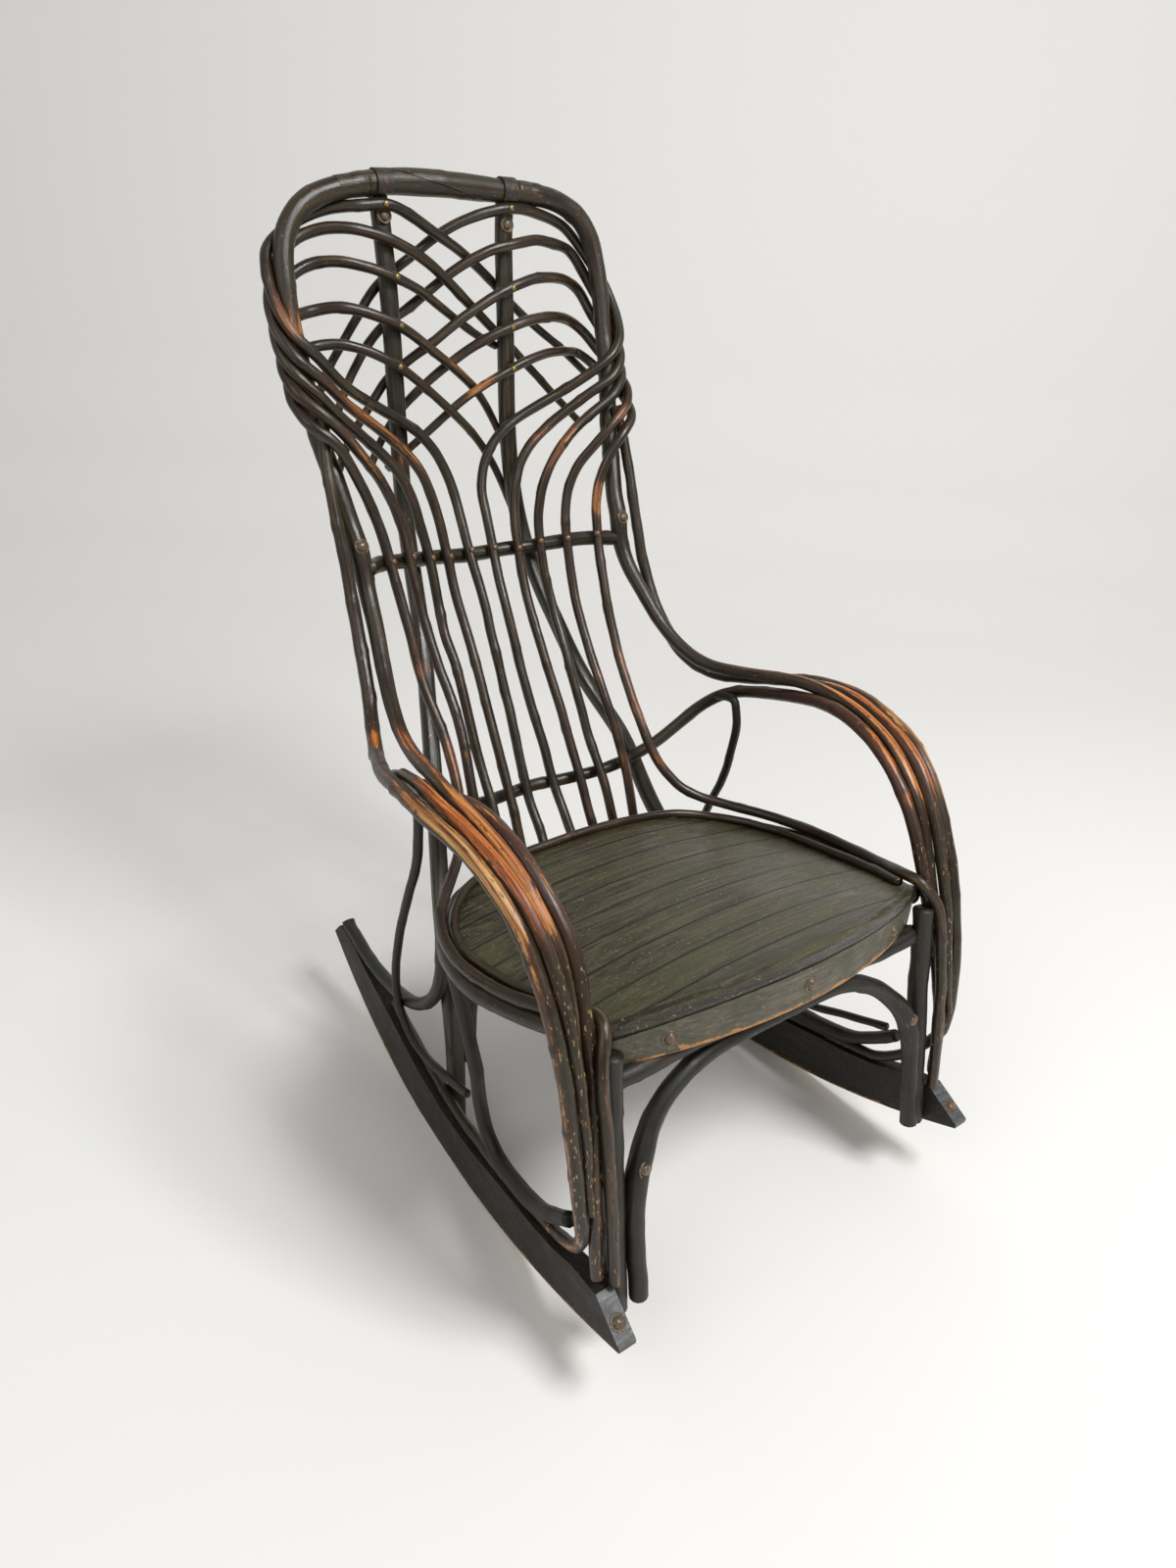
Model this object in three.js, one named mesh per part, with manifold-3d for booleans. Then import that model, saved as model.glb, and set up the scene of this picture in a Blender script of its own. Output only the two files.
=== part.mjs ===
// A small bentwood rocking chair: bent rods sprung round a hooped back, a slatted seat and two rockers.
// Millimetres. X runs across the chair, Y from front to back, Z up.
import * as THREE from 'three';
import { mergeVertices } from 'three/addons/utils/BufferGeometryUtils.js';
import Module from 'manifold-3d';

const wasm = await Module();
wasm.setup();

// Overall sizes
const chairWidth = 480; // over the outer arm rods
const backReach = 340; // from the ground contact back to the posts
const chairHeight = 850; // floor to the top of the straps on the back hoop

// The bends are drawn on squared paper: half the width is 24 squares, the back's reach 34, the height 85.
// Every table of shares counts these squares, as [across, deep, high].
const square = new THREE.Vector3(chairWidth / 48, backReach / 34, chairHeight / 85);

// Stock sizes
const hoopDiameter = 17.4;
const hoopMiddleDiameter = 22; // where the hoop's halves lap
const armDiameter = 12;
const armTipDiameter = 6;
const armToeDiameter = 8.4;
const armEndDiameter = 9.6;
const outerArmFootDiameter = 10.4;
const armTailDiameter = 9;
const backRodDiameter = 9.6;
const backRodTipDiameter = 7.2;
const crossbarDiameter = 14;
const braceDiameter = 14.8;
const frontPostDiameter = 17;
const railDiameter = 14;
const seatHoopDiameter = 15;
const lipDiameter = 8;
const legRodDiameter = 12;
const tailLoopDiameter = 12.6;
const scrollDiameter = 8.6;
const scrollTipDiameter = 7.3;
const postWidth = 16.5;
const postThickness = 14.5;
const postFootWidth = 18;

// Fits
const clearance = 0.3; // left between pieces that touch
const nailReach = 5; // rods that pass closer than this are sprung together and nailed
const thinRodStep = 27; // spacing of the sections along a thin rod
const thickRodStep = 30;

// Rockers
const rockerThickness = 16;
const rockerSpread = square.x * 19.04; // from the chair's middle to a rocker's outer face, above the contact
const toeInShare = 0.06; // the rockers close towards the back
const flatLength = 24; // of the worn flat that the chair stands on
const contactShift = square.y * 2.7; // the flat lies this far behind the drawing's middle, under the weight
const noseReach = square.y * 29.4;
const noseRise = square.z * 7;
const heelReach = square.y * 29.5;
const heelRise = square.z * 8.1;

// Seat
const seatFrontHeight = square.z * 32.3;
const seatBackHeight = square.z * 26.7;
const seatFrontReach = square.y * 25;
const seatBackReach = square.y * 7;
const seatCrown = square.z * 2; // the boards' ends lie this far below their middle
const seatDish = square.z * 0.5; // the seat's middle lies this far below a straight line from front to back
const crownHalfWidth = square.x * 19;
const boardThickness = 9;
const boardCount = 9;
const boardGap = 0.8;
const noseDiameter = 15;
const noseBow = square.y * 3.8; // the front edge's ends lie this far behind its middle
const noseHalfWidth = square.x * 17.2;
const apronHeight = 36;
const apronEndHeight = 24;
const apronThickness = 9;
const apronSetback = 3; // of the apron's face behind the nose

// Fastenings
const boltHeadDiameter = 9;
const boltHeadHeight = 4;
const washerDiameter = 13;
const washerThickness = 1.6;
const shankDiameter = 5;
const shankLength = 7;
const strapWidth = 15;
const strapThickness = 1.6;
const scarfLength = 110; // of the slanting lap between the hoop's halves

// Finishes
const oldPaint = new THREE.MeshStandardMaterial({ color: 0x34322a, roughness: 0.5, metalness: 0 });
const seatPaint = new THREE.MeshStandardMaterial({ color: 0x3a3d2f, roughness: 0.5, metalness: 0 });
const wornPaint = new THREE.MeshStandardMaterial({ color: 0x6b4a2c, roughness: 0.45, metalness: 0 });
const ironPaint = new THREE.MeshStandardMaterial({ color: 0x4a4034, roughness: 0.45, metalness: 0.6 });

const chair = new THREE.Group();
const across = new THREE.Vector3(1, 0, 0);
const up = new THREE.Vector3(0, 0, 1);

const place = ([x, y, z]) => new THREE.Vector3(x * square.x, y * square.y, z * square.z);
const sides = [{ name: 'left', sign: -1 }, { name: 'right', sign: 1 }];
const onSide = (side, shares) => shares.map(([x, y, z]) => place([side.sign * x, y, z]));

// Straight-line reading of a table of [at, value] pairs.
function readTable(table, at) {
  const next = table.findIndex(([key]) => key >= at);
  if (next === -1) return table[table.length - 1][1];
  if (next === 0) return table[0][1];
  const [a, low] = table[next - 1];
  const [b, high] = table[next];
  return low + ((high - low) * (at - a)) / (b - a);
}

// The rockers' faces and upper edge, which other pieces are fitted against.
const rockerTopShares = [
  [-29.4, 7.4], [-26, 9.6], [-22.6, 9], [-19.7, 7.9], [-16.5, 7.1], [-13, 6.6], [-9.4, 5.9], [-5.5, 5.2],
  [-2, 4.9], [1.4, 4.9], [5.9, 5.3], [9.7, 6.2], [13.2, 7], [17.4, 8], [20.4, 8.8], [23.1, 9.7],
  [25.6, 10.1], [27.8, 9.8], [29.5, 8.4],
];
const rockerTopTable = rockerTopShares.map(([deep, high]) => [deep * square.y, high * square.z]);
const rockerOuter = (y) => rockerSpread - toeInShare * y;
const rockerInner = (y) => rockerOuter(y) - rockerThickness;
const rockerTop = (y) => readTable(rockerTopTable, y);

// The seat's upper surface: it falls to the back and crowns across.
const seatFall = (seatFrontHeight - seatBackHeight) / (seatFrontReach + seatBackReach);
const seatDepth = seatFrontReach + seatBackReach;
const seatSag = (y) => seatDish * Math.sin((Math.PI * (y + seatFrontReach)) / seatDepth);
const seatCentre = (y) => seatFrontHeight - seatFall * (y + seatFrontReach) - seatSag(y);
const seatTop = (x, y) => seatCentre(y) - seatCrown * (x / crownHalfWidth) ** 2;
const noseLine = (x) => -seatFrontReach + noseBow * (x / noseHalfWidth) ** 2;

// A rod: its line is sampled once, then sprung clear of its neighbours, then skinned.
const rods = [];
function addRod(name, points, diameters, options = {}) {
  const { round = 6, give = 1, step = thinRodStep, rests, clear, ...look } = options;
  const curve = new THREE.CatmullRomCurve3(points, false, 'centripetal');
  const line = curve.getSpacedPoints(Math.ceil(curve.getLength() / step));
  const stops = diameters.map((diameter, i) => [i / Math.max(diameters.length - 1, 1), diameter / 2]);
  const radii = line.map((point, i) => readTable(stops, i / (line.length - 1)));
  const drawn = line.map((point) => point.clone());
  rods.push({ name, line, drawn, radii, round, give, rests, clear: clear ?? [], ...look });
}

// Shapes of the rods, in squares. A table for one side is mirrored for the other where both are alike.
const hoopShares = {
  left: [
    [-6, 32.2, 83.9], [-0.5, 32.2, 83.8], [6.2, 32.2, 83.6], [10.4, 32.1, 83], [13.1, 32, 82.2],
    [15.1, 31.7, 80.9], [16.3, 31.3, 79.3], [16.8, 30.9, 78], [17.1, 30.2, 75.5], [17.2, 29.4, 72.5],
    [17, 28, 68.8], [16.4, 26.2, 63.7], [15.6, 23.9, 58.6], [15, 22.1, 53.9],
  ],
  right: [
    [-6, 32.2, 83.7], [-0.5, 32.2, 83.9], [5.6, 32.2, 84], [11.4, 32.2, 83.8], [14.8, 32, 82.7],
    [16.6, 31.4, 80.3], [17.1, 30.4, 76.3], [17.2, 29.4, 72.7], [16.8, 27, 66.2], [16.2, 25.3, 61.4],
    [15.5, 23.6, 57.8], [15, 22.1, 53.9],
  ],
};
// Below the crossbar each leg of the hoop sweeps out to be the arm's third rod.
const hoopArmShares = [
  [15, 20.6, 50.4], [15.6, 17.3, 46.6], [16.7, 13.1, 42.6], [17.8, 9, 41.1], [18.9, 5, 41.4], [19.9, 1, 42],
  [20.6, -3, 42.4], [20.8, -5.9, 42.1], [20.5, -11.3, 41.1], [20.1, -15.2, 39], [19.7, -17.9, 36.2],
  [19.5, -19.5, 33.3], [19.6, -20.9, 29.5], [19.9, -22.1, 25.7], [20.2, -23.2, 22], [20.5, -24, 18],
];
const outerArmShares = [
  [16.2, 26.1, 65], [16.8, 24.6, 61.5], [16.8, 23.2, 58.1], [16.8, 21.5, 53.6], [16.9, 19.4, 48.5],
  [17.4, 16.6, 43.9], [18.1, 14.3, 41.2], [19.5, 10.6, 39.4], [20.8, 7, 39.9], [22, 3.5, 40.6],
  [22.9, -1, 41.7], [23.4, -5.9, 42], [22.8, -10.6, 41.4], [22.3, -14.3, 40], [21.8, -17.1, 37.8],
  [21.6, -19.1, 35], [21.5, -20.8, 31.8], [21.4, -22.2, 28.2], [21.5, -23.3, 24.4], [21.4, -24.2, 20.1],
  [21.2, -24.7, 16], [21, -24.6, 14.2], [20.5, -23.6, 12.6], [19.8, -21.8, 10.3], [19.3, -19.4, 8.6],
  [19.2, -16.8, 7.7], [19.1, -13.4, 7], [18.9, -9, 6.3], [18.6, -4.5, 5.6], [18.3, 1, 5.3],
  [17.9, 6, 5.8], [17.6, 10.4, 6.9], [17.3, 14.6, 7.9],
];
const middleArmShares = [
  [21.2, 2, 41.1], [21.7, -1.5, 41.9], [22.1, -5.9, 42.2], [21.7, -11, 41.2], [21.2, -14.8, 39.6],
  [20.7, -17.6, 37], [20.6, -19.4, 34.2], [20.6, -20.9, 31], [20.6, -22.3, 27], [20.8, -23.4, 23],
  [21, -24.2, 19], [21.1, -24.7, 17.2],
];
const innerArmShares = [
  [0, 15.3, 28.8], [4, 14.8, 28.8], [8, 13.9, 29.2], [11.6, 12.9, 30.4], [14.6, 12.2, 32.2],
  [17, 11.4, 34.2], [19, 9.6, 36.8], [19.9, 5.6, 39], [20.2, 0.6, 40.3], [20.1, -3.4, 41.3],
  [19.5, -7, 41.7], [19, -12, 40.6], [18.5, -15.5, 38.2], [18.1, -18.2, 35.2], [18.1, -19.8, 31.6],
  [18.4, -21.3, 27.4], [19, -22.7, 23.8], [19.5, -23.7, 20.3], [19.8, -24.5, 16.8], [19.9, -25, 13.1],
  [19.8, -25.3, 10.5],
];
const postShares = [
  [6.6, 32.9, 83.4], [6.4, 32, 77.5], [6.3, 31.5, 72], [6.3, 31.2, 66.3], [6.3, 30.7, 60.3],
  [6.6, 29.5, 54.2],
  [7.1, 26.7, 48.3], [8.2, 23, 42.8], [9.6, 19.6, 37.2], [11.6, 15, 32.5], [12.8, 12.2, 26.9],
  [14.2, 9.2, 22], [15.5, 6, 19],
];
const postFootShares = [[4, 16.4], [2.8, 11.8], [2.6, 6], [2.6, 1]]; // deep and high, beside the rocker
const crossbarShares = [
  [14.9, 21.3, 52.1], [12.2, 23.2, 52], [9.3, 24.7, 51.6], [6.8, 25.7, 51.2], [4.3, 26.4, 51],
  [1.4, 26.7, 50.8],
];

// The five rods on each side of the back, from the middle outwards. Each rises from the seat ...
const backRodShares = [
  [
    [1.8, 9.7, 24.2], [1.7, 11, 26], [1.7, 13.1, 28.6], [1.5, 15.7, 33.5], [1.3, 18.5, 38.3],
    [1.2, 21.1, 43.1],
    [1.2, 23.6, 47.8], [1.4, 25.5, 51], [1.5, 26.7, 53.5], [1.7, 28.7, 57.4], [4, 29.5, 61.9],
    [8.9, 29.1, 64.8],
    [13.4, 27.9, 67.2],
  ],
  [
    [4.5, 9.7, 24.2], [4.4, 10.7, 26], [4.3, 12.6, 29.7], [4.3, 14.6, 33], [4.2, 16.5, 36.3],
    [4.1, 18.5, 39.5],
    [4, 20.5, 42.7], [4, 22.6, 45.9], [4.1, 24.3, 49.3], [4.2, 25.5, 52.5], [4.6, 26.7, 56.1],
    [5.7, 27.5, 59.4],
    [8.1, 27.8, 62], [11.1, 27.5, 64.1], [13.6, 27, 65.8],
  ],
  [
    [7, 9.6, 24.2], [6.9, 10.6, 26.6], [6.8, 12.4, 30.1], [6.7, 14.5, 32.9], [6.7, 16.2, 35.9],
    [6.6, 17.8, 38.9],
    [6.5, 19.5, 42], [6.7, 21.6, 44.7], [6.5, 23.1, 47.8], [6.5, 24.4, 50.9], [6.8, 25.5, 54.1],
    [7.5, 25.9, 57.3],
    [9.1, 26.1, 60.2], [11.4, 26.3, 62.4], [13.6, 26, 64.2],
  ],
  [
    [9.5, 9.4, 24.2], [9.4, 10.1, 26.6], [9.3, 11.2, 30], [9.2, 12.3, 32.3], [9, 13.7, 35.1],
    [8.8, 15.4, 37.8],
    [8.8, 17.4, 40.3], [9, 19.4, 42.8], [9, 21.2, 45.5], [9.2, 22.7, 48.3], [9.3, 23.8, 51.1],
    [9.4, 24.8, 54],
    [10, 25.6, 56.8], [11.4, 25.7, 59.5], [13.2, 25.2, 61.6],
  ],
  [
    [19, -25.9, 10.4], [19, -25.5, 13.2], [19, -25, 16.4], [19, -24.4, 19.4], [19, -23.8, 22.4],
    [18.9, -23.1, 25.1],
    [18.7, -22.5, 27.8], [17.8, -21.4, 30], [17.1, -20.2, 30.8], [18.2, -18, 30], [19.4, -15.4, 29],
    [20.2, -12.2, 28.3], [20.7, -8.6, 27.7], [20.6, -4.5, 27.3], [19.2, 0, 27.1], [17.6, 2.6, 27.2],
    [15.5, 4.8, 27.6], [13.4, 6.9, 28.8], [12, 8.9, 31], [11.4, 10.6, 33.6], [11.2, 12.4, 36.1],
    [11.2, 14.3, 38.5],
    [11.4, 16.3, 40.9], [11.5, 17.9, 43.5], [11.5, 19.2, 46.2], [11.6, 20.6, 48.8], [11.8, 21.9, 51.5],
    [12, 23, 54.2], [12.5, 24, 56.8], [13.4, 24.4, 59],
  ],
];
// ... winds round the hoop's leg, reaching these heights in front, outside, behind and inside ...
const windHeightShares = {
  left: [
    [70, 71.7, 78, 80.3], [68, 69.6, 73.8, 78.4], [66.5, 68.3, 71.5, 75.6], [64.8, 66.5, 69.4, 72.9],
    [62.6, 64, 67.2, 70],
  ],
  right: [
    [69.2, 70.4, 76.5, 79.3], [67.1, 68.7, 73, 76.6], [65.6, 67.2, 70.5, 73.5], [64.2, 65.9, 68.4, 70.6],
    [62.2, 63.8, 66.2, 68.1],
  ],
};
const windTurns = [-40, 40, 128, 215]; // degrees from straight in front, going outwards
// ... and arches over in front of the near post, then runs down across the back behind the far post.
const archShares = {
  left: [
    [
      [-12.6, 32.6, 81.8], [-9.7, 31.7, 82.1], [-7.3, 31.3, 82.3], [-5.8, 31.4, 82.3], [-3.3, 31.6, 81.2],
      [-1.2, 31.8, 80.2], [0.6, 32.2, 79.4], [6, 33.1, 76.2], [8.2, 33, 74.1], [14, 32.7, 70.4],
      [18, 32.2, 67.3],
    ],
    [
      [-13.5, 32.6, 79.6], [-11.7, 32, 80.2], [-10, 31.4, 80.2], [-7.6, 31, 80], [-5.7, 30.8, 79.4],
      [-3.3, 31.2, 78.5], [-1.4, 31.4, 77.2], [0.4, 31.8, 75.9], [5.8, 32.7, 72.1], [8.1, 32.7, 70.2],
      [12.6, 32.4, 66], [16.4, 32, 62.7],
    ],
    [
      [-14.4, 32.3, 76.6], [-12.6, 31.7, 77.3], [-11, 31.1, 77.3], [-8.6, 30.7, 76.8], [-6.1, 30.4, 76],
      [-4, 30.7, 75.3], [-2.3, 31, 74.3], [-0.2, 31.4, 73], [3.2, 32, 71], [5.6, 32.5, 70],
    ],
    [
      [-14.2, 32.1, 73.4], [-12.3, 31.3, 73.9], [-10.1, 30.7, 73.8], [-8.3, 30.4, 73.2], [-6.1, 30.1, 72.4],
      [-3.9, 30.4, 71.2], [-2.1, 30.7, 69.9], [-0.2, 31, 68.7], [2.8, 31.7, 66.5], [5.7, 32.2, 62.8],
      [6.8, 32.1, 60.4],
    ],
    [
      [-13.6, 31.6, 70.5], [-12, 31, 70.8], [-10.4, 30.5, 70.6], [-8.5, 30.2, 70], [-6.3, 29.9, 68.8],
      [-4.2, 30.1, 67.4], [-2.3, 30.4, 65.9], [-0.6, 30.6, 64.5], [2, 31.1, 62.4], [3.8, 31.3, 60.4],
      [5.7, 31.5, 57.5],
      [7.2, 31, 53.9],
    ],
  ],
  right: [
    [
      [15.2, 33.2, 80.9], [12.6, 32.6, 81.9], [10, 32, 82.5], [7.6, 31.5, 82.7], [5.7, 31.4, 82.5],
      [3.3, 31.8, 81.8],
      [1, 32.2, 80.8], [-1.4, 32.5, 79.3], [-3.9, 32.8, 77.4], [-6.7, 33.1, 75.6], [-10.2, 32.8, 71.1],
      [-12.5, 32.6, 68.1], [-13.6, 32.3, 66],
    ],
    [
      [15.5, 33, 79], [12.6, 32.2, 79.7], [9.4, 31.5, 79.9], [7.2, 31.1, 79.5], [4.7, 31.2, 78.9],
      [2.3, 31.5, 77.8],
      [0.2, 31.7, 76.5], [-1.7, 32, 75.3], [-4.2, 32.4, 73.3], [-6.8, 32.8, 71.8], [-9.3, 32.6, 69],
      [-10.9, 32.5, 66.3],
      [-12.6, 32.1, 63],
    ],
    [
      [16, 32.8, 75.8], [14.4, 32.4, 76.5], [11.3, 31.2, 76.8], [7.9, 30.8, 76.3], [5.5, 30.6, 75.3],
      [3.2, 30.9, 74.2],
      [0.7, 31.2, 72.7], [-2, 31.7, 70.8], [-4.5, 32.2, 69.1], [-6.7, 32.6, 67.3], [-8.3, 32.4, 65.2],
      [-11.1, 32.1, 61.8], [-12.6, 31.6, 58.8],
    ],
    [
      [16, 32.5, 72.4], [14.2, 32.1, 73], [11, 30.8, 73.3], [8.3, 30.5, 72.9], [6.1, 30.2, 72.1],
      [3.8, 30.6, 71.1],
      [1.3, 30.9, 69.5], [-0.8, 31.3, 68], [-2.2, 31.6, 67], [-4.9, 32, 64.7], [-6.9, 32.2, 62.5],
      [-8.8, 31.8, 59.4],
    ],
    [
      [15.4, 32.3, 69.7], [13.2, 31.5, 69.9], [10, 30.5, 69.7], [6.8, 30.1, 68.7], [4.2, 30.3, 67.3],
      [1.9, 30.6, 66],
      [-0.3, 30.9, 64.3], [-2.5, 31.3, 62.4], [-4.8, 31.7, 60.6], [-7.3, 31.7, 58.8],
    ],
  ],
};

const lipPlanShares = [
  [16.5, -19.4], [17.6, -16.4], [18.3, -13.1], [18.8, -9.8], [19.1, -6.3], [18.8, -2.2], [17.5, 0.8],
  [15.6, 3.4],
  [12.8, 5.4], [9.5, 6.2],
];
const seatHoopShares = [
  [17.6, -20.6, 28.8], [19, -16.1, 27.7], [20.2, -12.3, 27], [20.8, -8.4, 26.4], [20.3, -3.8, 25.9],
  [18.7, 0.1, 25.3],
  [16, 3.8, 24.8], [12.5, 6.8, 24.6], [8, 8, 24.6], [4, 8.3, 24.6],
];
const seatPlanShares = [
  [17.4, -20.6], [18.4, -18], [19, -15.6], [19.8, -12.3], [20.4, -8.4], [19.9, -3.8], [18.3, 0.1],
  [15.6, 3.6],
  [13.6, 5.2], [11.6, 6.4], [9.6, 7],
];
const braceShares = [
  [17, -26, 6.6], [17, -25.1, 11.2], [16.9, -24.4, 15], [16.2, -23.6, 18], [15.1, -23, 19.6],
  [13.9, -22.6, 20.9],
  [12.3, -22.2, 22.2], [10.6, -22, 23.2], [8.5, -21.8, 23.8], [5, -21.7, 24.1],
];
const railShares = [[17, -21.8, 25.5], [8, -21.8, 25.5]];
const rearBraceShares = [
  [15, 2.6, 8], [14.8, 2.8, 12], [14, 3.2, 16], [12.4, 4, 19.6], [10, 5, 22], [7, 6, 23.2],
  [3.4, 6.8, 23.6],
];
const frontPostShares = [
  [18.1, -25.6, 5.8], [17.9, -24.4, 13], [17.7, -23.1, 20.6], [17.6, -22.3, 26.4], [17.5, -22, 28.2],
];
const legRodShares = [
  [19.6, -21, 12], [19.5, -19.4, 10.6], [19.4, -16.8, 8.8], [19.1, -13, 7.8], [18.9, -9.6, 7.4],
  [18.7, -7.2, 8.6],
  [18.6, -5.8, 10.6], [18.5, -5.1, 13.4], [18.5, -3.8, 17], [18.6, -2.4, 20.5], [19, -1.6, 23.8],
];
const tailLoopShares = [
  [16.8, 26.4, 10.7], [17, 22.6, 10.1], [17.1, 18.9, 9.8], [17.3, 14.6, 10.2], [17.5, 11, 11],
  [17.8, 7.4, 12.8],
  [18, 4.4, 15.4], [18.1, 2.6, 18.4], [18.1, 2, 21.4], [18.1, 2, 23.6],
];
const scrollShares = {
  left: [
    [18.6, 7.8, 38], [18.8, 5.4, 38.4], [18.8, 4.6, 36.6], [18.7, 4.8, 33.8], [18.7, 5.3, 30.1],
    [18.8, 7.4, 25],
    [18.9, 9.2, 20], [18.9, 10.6, 14], [18.9, 10, 10.8], [18.9, 7.6, 9], [18.9, 3, 8.9], [18.9, -1, 9.8],
    [19, -3.9, 10.8],
  ],
  right: [
    [18.6, 7.8, 38], [18.8, 5.4, 38.4], [18.8, 4.6, 36.6], [18.7, 4.8, 33.8], [18.7, 5.3, 30.1],
    [18.8, 7.4, 25],
    [18.9, 9.2, 20], [18.9, 10.6, 14], [18.9, 10, 10.8], [18.9, 7.6, 9], [18.9, 3, 8.9], [18.4, -1, 9.6],
    [17.4, -5, 9.8], [17.4, -11.6, 10.2], [17.8, -15, 11.4], [18.2, -20.6, 13.4],
  ],
};

// The hoop's leg at a height, for the rods that wind round it.
const hoopShoulderShare = 83; // the legs' tables start below this height
function hoopLeg(side, height) {
  const legShares = hoopShares[side.name].filter(([, , high]) => high < hoopShoulderShare);
  const leg = legShares.map(place).reverse();
  return new THREE.Vector3(
    side.sign * readTable(leg.map((point) => [point.z, point.x]), height),
    readTable(leg.map((point) => [point.z, point.y]), height),
    height,
  );
}

function windRoundLeg(side, heightShares) {
  const reach = hoopDiameter / 2 + backRodDiameter / 2 + clearance;
  return heightShares.map((share, i) => {
    const turn = THREE.MathUtils.degToRad(windTurns[i]);
    const middle = hoopLeg(side, share * square.z);
    return middle.add(new THREE.Vector3(side.sign * reach * Math.sin(turn), -reach * Math.cos(turn), 0));
  });
}

function besideRocker(side, width, shares) {
  return shares.map(([deep, high]) => {
    const y = deep * square.y;
    return new THREE.Vector3(side.sign * (rockerInner(y) - width / 2 - clearance), y, high * square.z);
  });
}

function onSeat(shares, radius) {
  return shares.map(([x, y]) => {
    const spot = new THREE.Vector2(x * square.x, y * square.y);
    return new THREE.Vector3(spot.x, spot.y, seatTop(spot.x, spot.y) + radius + clearance);
  });
}

// A table from the middle outwards, continued through its mirror image as one rod from left to right.
function throughMiddle(points) {
  const mirror = points.map((point) => point.clone().setX(-point.x));
  const inner = points[0].x === 0 ? points.slice(1) : points;
  return [...mirror.reverse(), ...inner];
}

for (const side of sides) {
  const hoop = onSide(side, [...hoopShares[side.name], ...hoopArmShares]);
  const hoopTaper = [
    hoopMiddleDiameter, hoopDiameter, hoopDiameter, armDiameter, armDiameter, armToeDiameter,
  ];
  const post = [...onSide(side, postShares), ...besideRocker(side, postWidth, postFootShares)];
  const outerTaper = [
    armEndDiameter, armDiameter, armDiameter, outerArmFootDiameter, armTailDiameter, armTailDiameter,
  ];
  const middleTaper = [armEndDiameter, armDiameter, armDiameter, armEndDiameter, armTipDiameter];
  addRod(`hoop_${side.name}`, hoop, hoopTaper, {
    round: 8, give: 0.25, clear: ['post_left', 'post_right', 'crossbar', 'hoop_left', 'hoop_right'],
  });
  addRod(`post_${side.name}`, post, [postWidth, postWidth, postFootWidth], {
    round: 4, give: 0, step: thickRodStep, thickness: postThickness, facing: across, clear: ['crossbar'],
  });
  addRod(`outer_arm_${side.name}`, onSide(side, outerArmShares), outerTaper, { give: 0.6, rests: 'rocker' });
  addRod(`middle_arm_${side.name}`, onSide(side, middleArmShares), middleTaper, { give: 1 });
  backRodShares.forEach((shares, i) => {
    const wind = windRoundLeg(side, windHeightShares[side.name][i]);
    const route = [...onSide(side, shares), ...wind, ...archShares[side.name][i].map(place)];
    const taper = [backRodDiameter, backRodDiameter, backRodDiameter, backRodDiameter, backRodTipDiameter];
    addRod(`back_rod_${side.name}_${i + 1}`, route, taper, i === 4 ? { rests: 'rocker' } : {});
  });
  addRod(`front_post_${side.name}`, onSide(side, frontPostShares), [frontPostDiameter], {
    round: 8, give: 0, step: thickRodStep, clear: ['seat_hoop', 'front_rail'],
  });
  addRod(`leg_rod_${side.name}`, onSide(side, legRodShares), [legRodDiameter], {
    rests: 'rocker', clear: [`outer_arm_${side.name}`],
  });
  const tailLoop = onSide(side, tailLoopShares);
  addRod(`tail_loop_${side.name}`, tailLoop, [tailLoopDiameter], { rests: 'rocker', give: 0.7 });
  const scroll = onSide(side, scrollShares[side.name]);
  addRod(`scroll_rod_${side.name}`, scroll, [scrollDiameter, scrollTipDiameter]);
}
const innerArm = throughMiddle(innerArmShares.map(place));
addRod('inner_arm_hoop', innerArm, [armEndDiameter, armDiameter, armDiameter, armDiameter, armEndDiameter], {
  give: 0.6, rests: 'rocker',
});
addRod('crossbar', throughMiddle(crossbarShares.map(place).reverse()), [crossbarDiameter], { give: 0.1 });
addRod('seat_hoop', throughMiddle(seatHoopShares.map(place).reverse()), [seatHoopDiameter], {
  round: 8, give: 0, step: thickRodStep, clear: ['front_rail'],
});
const lipLine = throughMiddle(onSeat(lipPlanShares, lipDiameter / 2).reverse());
addRod('seat_lip', lipLine, [lipDiameter], { give: 0.5, rests: 'seat', step: thickRodStep });
addRod('front_brace', throughMiddle(braceShares.map(place).reverse()), [braceDiameter], {
  round: 8, give: 0.6, step: thickRodStep,
});
addRod('front_rail', throughMiddle(railShares.map(place).reverse()), [railDiameter], {
  round: 8, give: 0, step: thickRodStep * 2, clear: ['front_post_left', 'front_post_right', 'seat_hoop'],
});
addRod('rear_brace', throughMiddle(rearBraceShares.map(place).reverse()), [legRodDiameter], { give: 0.6 });

// Springing: rods that cut into each other are pushed apart, and rods that nearly touch are drawn together.
const gapA = new THREE.Vector3();
const gapB = new THREE.Vector3();
const offset = new THREE.Vector3();

// Nearest points of two segments, as shares of their lengths.
function nearest(a, b, c, d) {
  const u = gapA.subVectors(b, a);
  const v = gapB.subVectors(d, c);
  const w = offset.subVectors(a, c);
  const uu = u.dot(u);
  const uv = u.dot(v);
  const vv = v.dot(v);
  const uw = u.dot(w);
  const vw = v.dot(w);
  const area = uu * vv - uv * uv;
  let s = area > uu * vv * 1e-9 ? THREE.MathUtils.clamp((uv * vw - vv * uw) / area, 0, 1) : 0.5;
  const t = THREE.MathUtils.clamp((uv * s + vw) / vv, 0, 1);
  s = THREE.MathUtils.clamp((uv * t - uw) / uu, 0, 1);
  return [s, t];
}

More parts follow.
